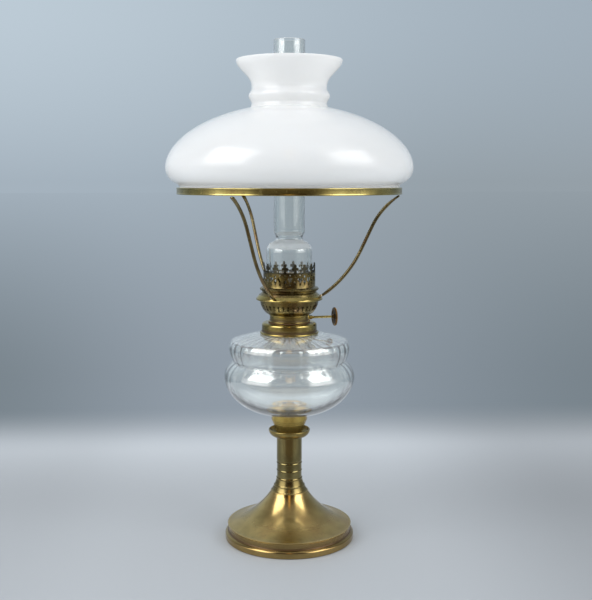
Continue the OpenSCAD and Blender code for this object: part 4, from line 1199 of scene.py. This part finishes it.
around = room.mix(room.ramp(sky_z, *SIDE_TO_CEILING), around, CEILING)
around = room.mix(ray(room, "Camera"), around, sky)
strip_share = (1 - room.ramp(bearing, *STRIP_EDGE)) * ray(room, "Glossy")
strip_share = strip_share * room.ramp(sky_z, *STRIP_LOW) * (1 - room.ramp(sky_z, *STRIP_HIGH))
around = room.mix(strip_share, around, WARM_STRIP)
shown = room.add("ShaderNodeBackground", sockets={"Color": around, "Strength": 1.0})
fill = room.add("ShaderNodeBackground", sockets={"Color": FILL, "Strength": FILL_STRENGTH})
both = room.add("ShaderNodeMixShader", sockets=(seen_rays(room), fill, shown))
room.add("ShaderNodeOutputWorld", sockets={"Surface": both})
print("world:", len(room.tree.nodes), "nodes")

# %% [markdown]
# ## Floor
#
# One flat sheet does for the table and the sweep behind it. Near the lamp it is a pale, lit floor, with light
# and shade painted on it: a lighter band where the sweep would bend up, a darker band just behind the lamp
# for the shadow of the shade, and less light towards both sides. Further back it fades into the tones of the
# horizon, shown as plain light, so that no edge shows where floor and sky meet.

# %% Floor
FLOOR_HALF = 30
FLOOR_POINTS = 9
FLOOR_DROP = 0.0002
FADE_START = 0.33
FADE_END = 0.62
FADE_SLANT = 0.1
# Where the painted light band, the painted shadow of the shade and the painted darkening to the sides lie,
# and how strong they are.
SWEEP_DEPTH = 0.37
SWEEP_WIDTH = 0.13
SWEEP_LIGHT_GAIN = 0.38
SHADOW_BAND_DEPTH = 0.13
SHADOW_BAND_WIDTH = 0.12
SHADOW_BAND_LOSS = 0.1
RIGHT_EDGE = (0.12, 0.36)
RIGHT_FALLOFF = 0.26
LEFT_EDGE = (0.18, 0.32)
LEFT_FALLOFF = 0.08
PALE_LEVEL = 0.94
HEADROOM = 1.6
MIDDLE_LEFT = (-0.36, -0.07)
MIDDLE_RIGHT = (-0.36, 0.03)
FAR_START = 1.84
FAR_CURVE = 1.5
FRONT_START = 0.19
FRONT_END = 0.25
DARK_TO_SIDE = (25.0, 45.0)
BLACK = (0.0, 0.0, 0.0, 1.0)
DARK_FLOOR = (0.24, 0.19, 0.13, 1.0)
SIDE_FLOOR = (0.36, 0.35, 0.32, 1.0)
FAR_MIDDLE = (0.278, 0.325, 0.378, 1.0)
FAR_EDGE = (0.190, 0.230, 0.262, 1.0)
PALE_FLOOR = (0.55, 0.58, 0.612)
BOUNCE_FLOOR = (0.88, 0.90, 0.91, 1.0)


def hump(value, centre, width):
    """1 at the centre and less to both sides: 1 over 1 plus the square of the distance in widths."""
    away = (value - centre) / width
    return 1.0 / (1.0 + away * away)


floor_side = np.linspace(-FLOOR_HALF, FLOOR_HALF, FLOOR_POINTS)
corner_x, corner_y = np.meshgrid(floor_side, floor_side)
floor_points = np.stack([corner_x, corner_y, np.full_like(corner_x, -FLOOR_DROP)], axis=-1) / MM
floor = new_piece("floor", floor_points, grid_faces(FLOOR_POINTS, FLOOR_POINTS, False, False))
backdrop = Finish("floor")
floor_x, floor_y, _ = backdrop.xyz(backdrop.place())
depth = floor_x * ahead.x + floor_y * ahead.y
lateral = floor_x * to_right.x + floor_y * to_right.y
distance = depth.math("MAXIMUM", 0.0) + VIEW_DISTANCE
slant = lateral / distance
middle_share = backdrop.ramp(slant, *MIDDLE_LEFT) * backdrop.ramp(slant * -1.0, *MIDDLE_RIGHT)
far_tone = backdrop.mix(middle_share, FAR_EDGE, FAR_MIDDLE)
far_share = 1 - (1 - FAR_START / distance).math("MAXIMUM", 0.0) ** FAR_CURVE
far_tone = backdrop.mix(far_share, horizon(backdrop, slant), far_tone)
# Painted light and shade on the floor: a lighter band where the sweep would bend up, a darker band behind the
# lamp for the shadow of the shade, and less light towards the right and left edges.
sweep_light = hump(depth, SWEEP_DEPTH, SWEEP_WIDTH)
painted_shadow = hump(depth, SHADOW_BAND_DEPTH, SHADOW_BAND_WIDTH)
pale_share = 1 + sweep_light * SWEEP_LIGHT_GAIN - painted_shadow * SHADOW_BAND_LOSS
pale_share = pale_share * (1 - backdrop.ramp(lateral, *RIGHT_EDGE) * RIGHT_FALLOFF)
pale_share = pale_share * (PALE_LEVEL - backdrop.ramp(lateral * -1.0, *LEFT_EDGE) * LEFT_FALLOFF)
brightest = (*(v * HEADROOM for v in PALE_FLOOR), 1.0)
pale = backdrop.mix(pale_share * (1 / HEADROOM), BLACK, brightest)
front = backdrop.mix(backdrop.ramp(bearing_of(lateral, depth), *DARK_TO_SIDE), DARK_FLOOR, SIDE_FLOOR)
in_front = backdrop.ramp(depth * -1.0, FRONT_START, FRONT_END)
pale = backdrop.mix(in_front * ray(backdrop, "Glossy"), pale, front)
pale = backdrop.mix(seen_rays(backdrop), BOUNCE_FLOOR, pale)
near = backdrop.add("ShaderNodeBsdfPrincipled", sockets={"Base Color": pale, "Roughness": 0.6})
far = backdrop.add("ShaderNodeEmission", sockets={"Color": far_tone, "Strength": 1.0})
fade = backdrop.ramp(depth - slant * FADE_SLANT, FADE_START, FADE_END) * seen_rays(backdrop)
blend = backdrop.add("ShaderNodeMixShader", sockets=(fade, near, far))
backdrop.add("ShaderNodeOutputMaterial", sockets={"Surface": blend})
floor.data.materials.append(backdrop.material)
print("floor:", len(floor.data.polygons), "faces")

# %% [markdown]
# ## Finish
#
# The Standard view transform keeps the colours as they were written.

# %% Finish
bpy.context.scene.view_settings.view_transform = "Standard"
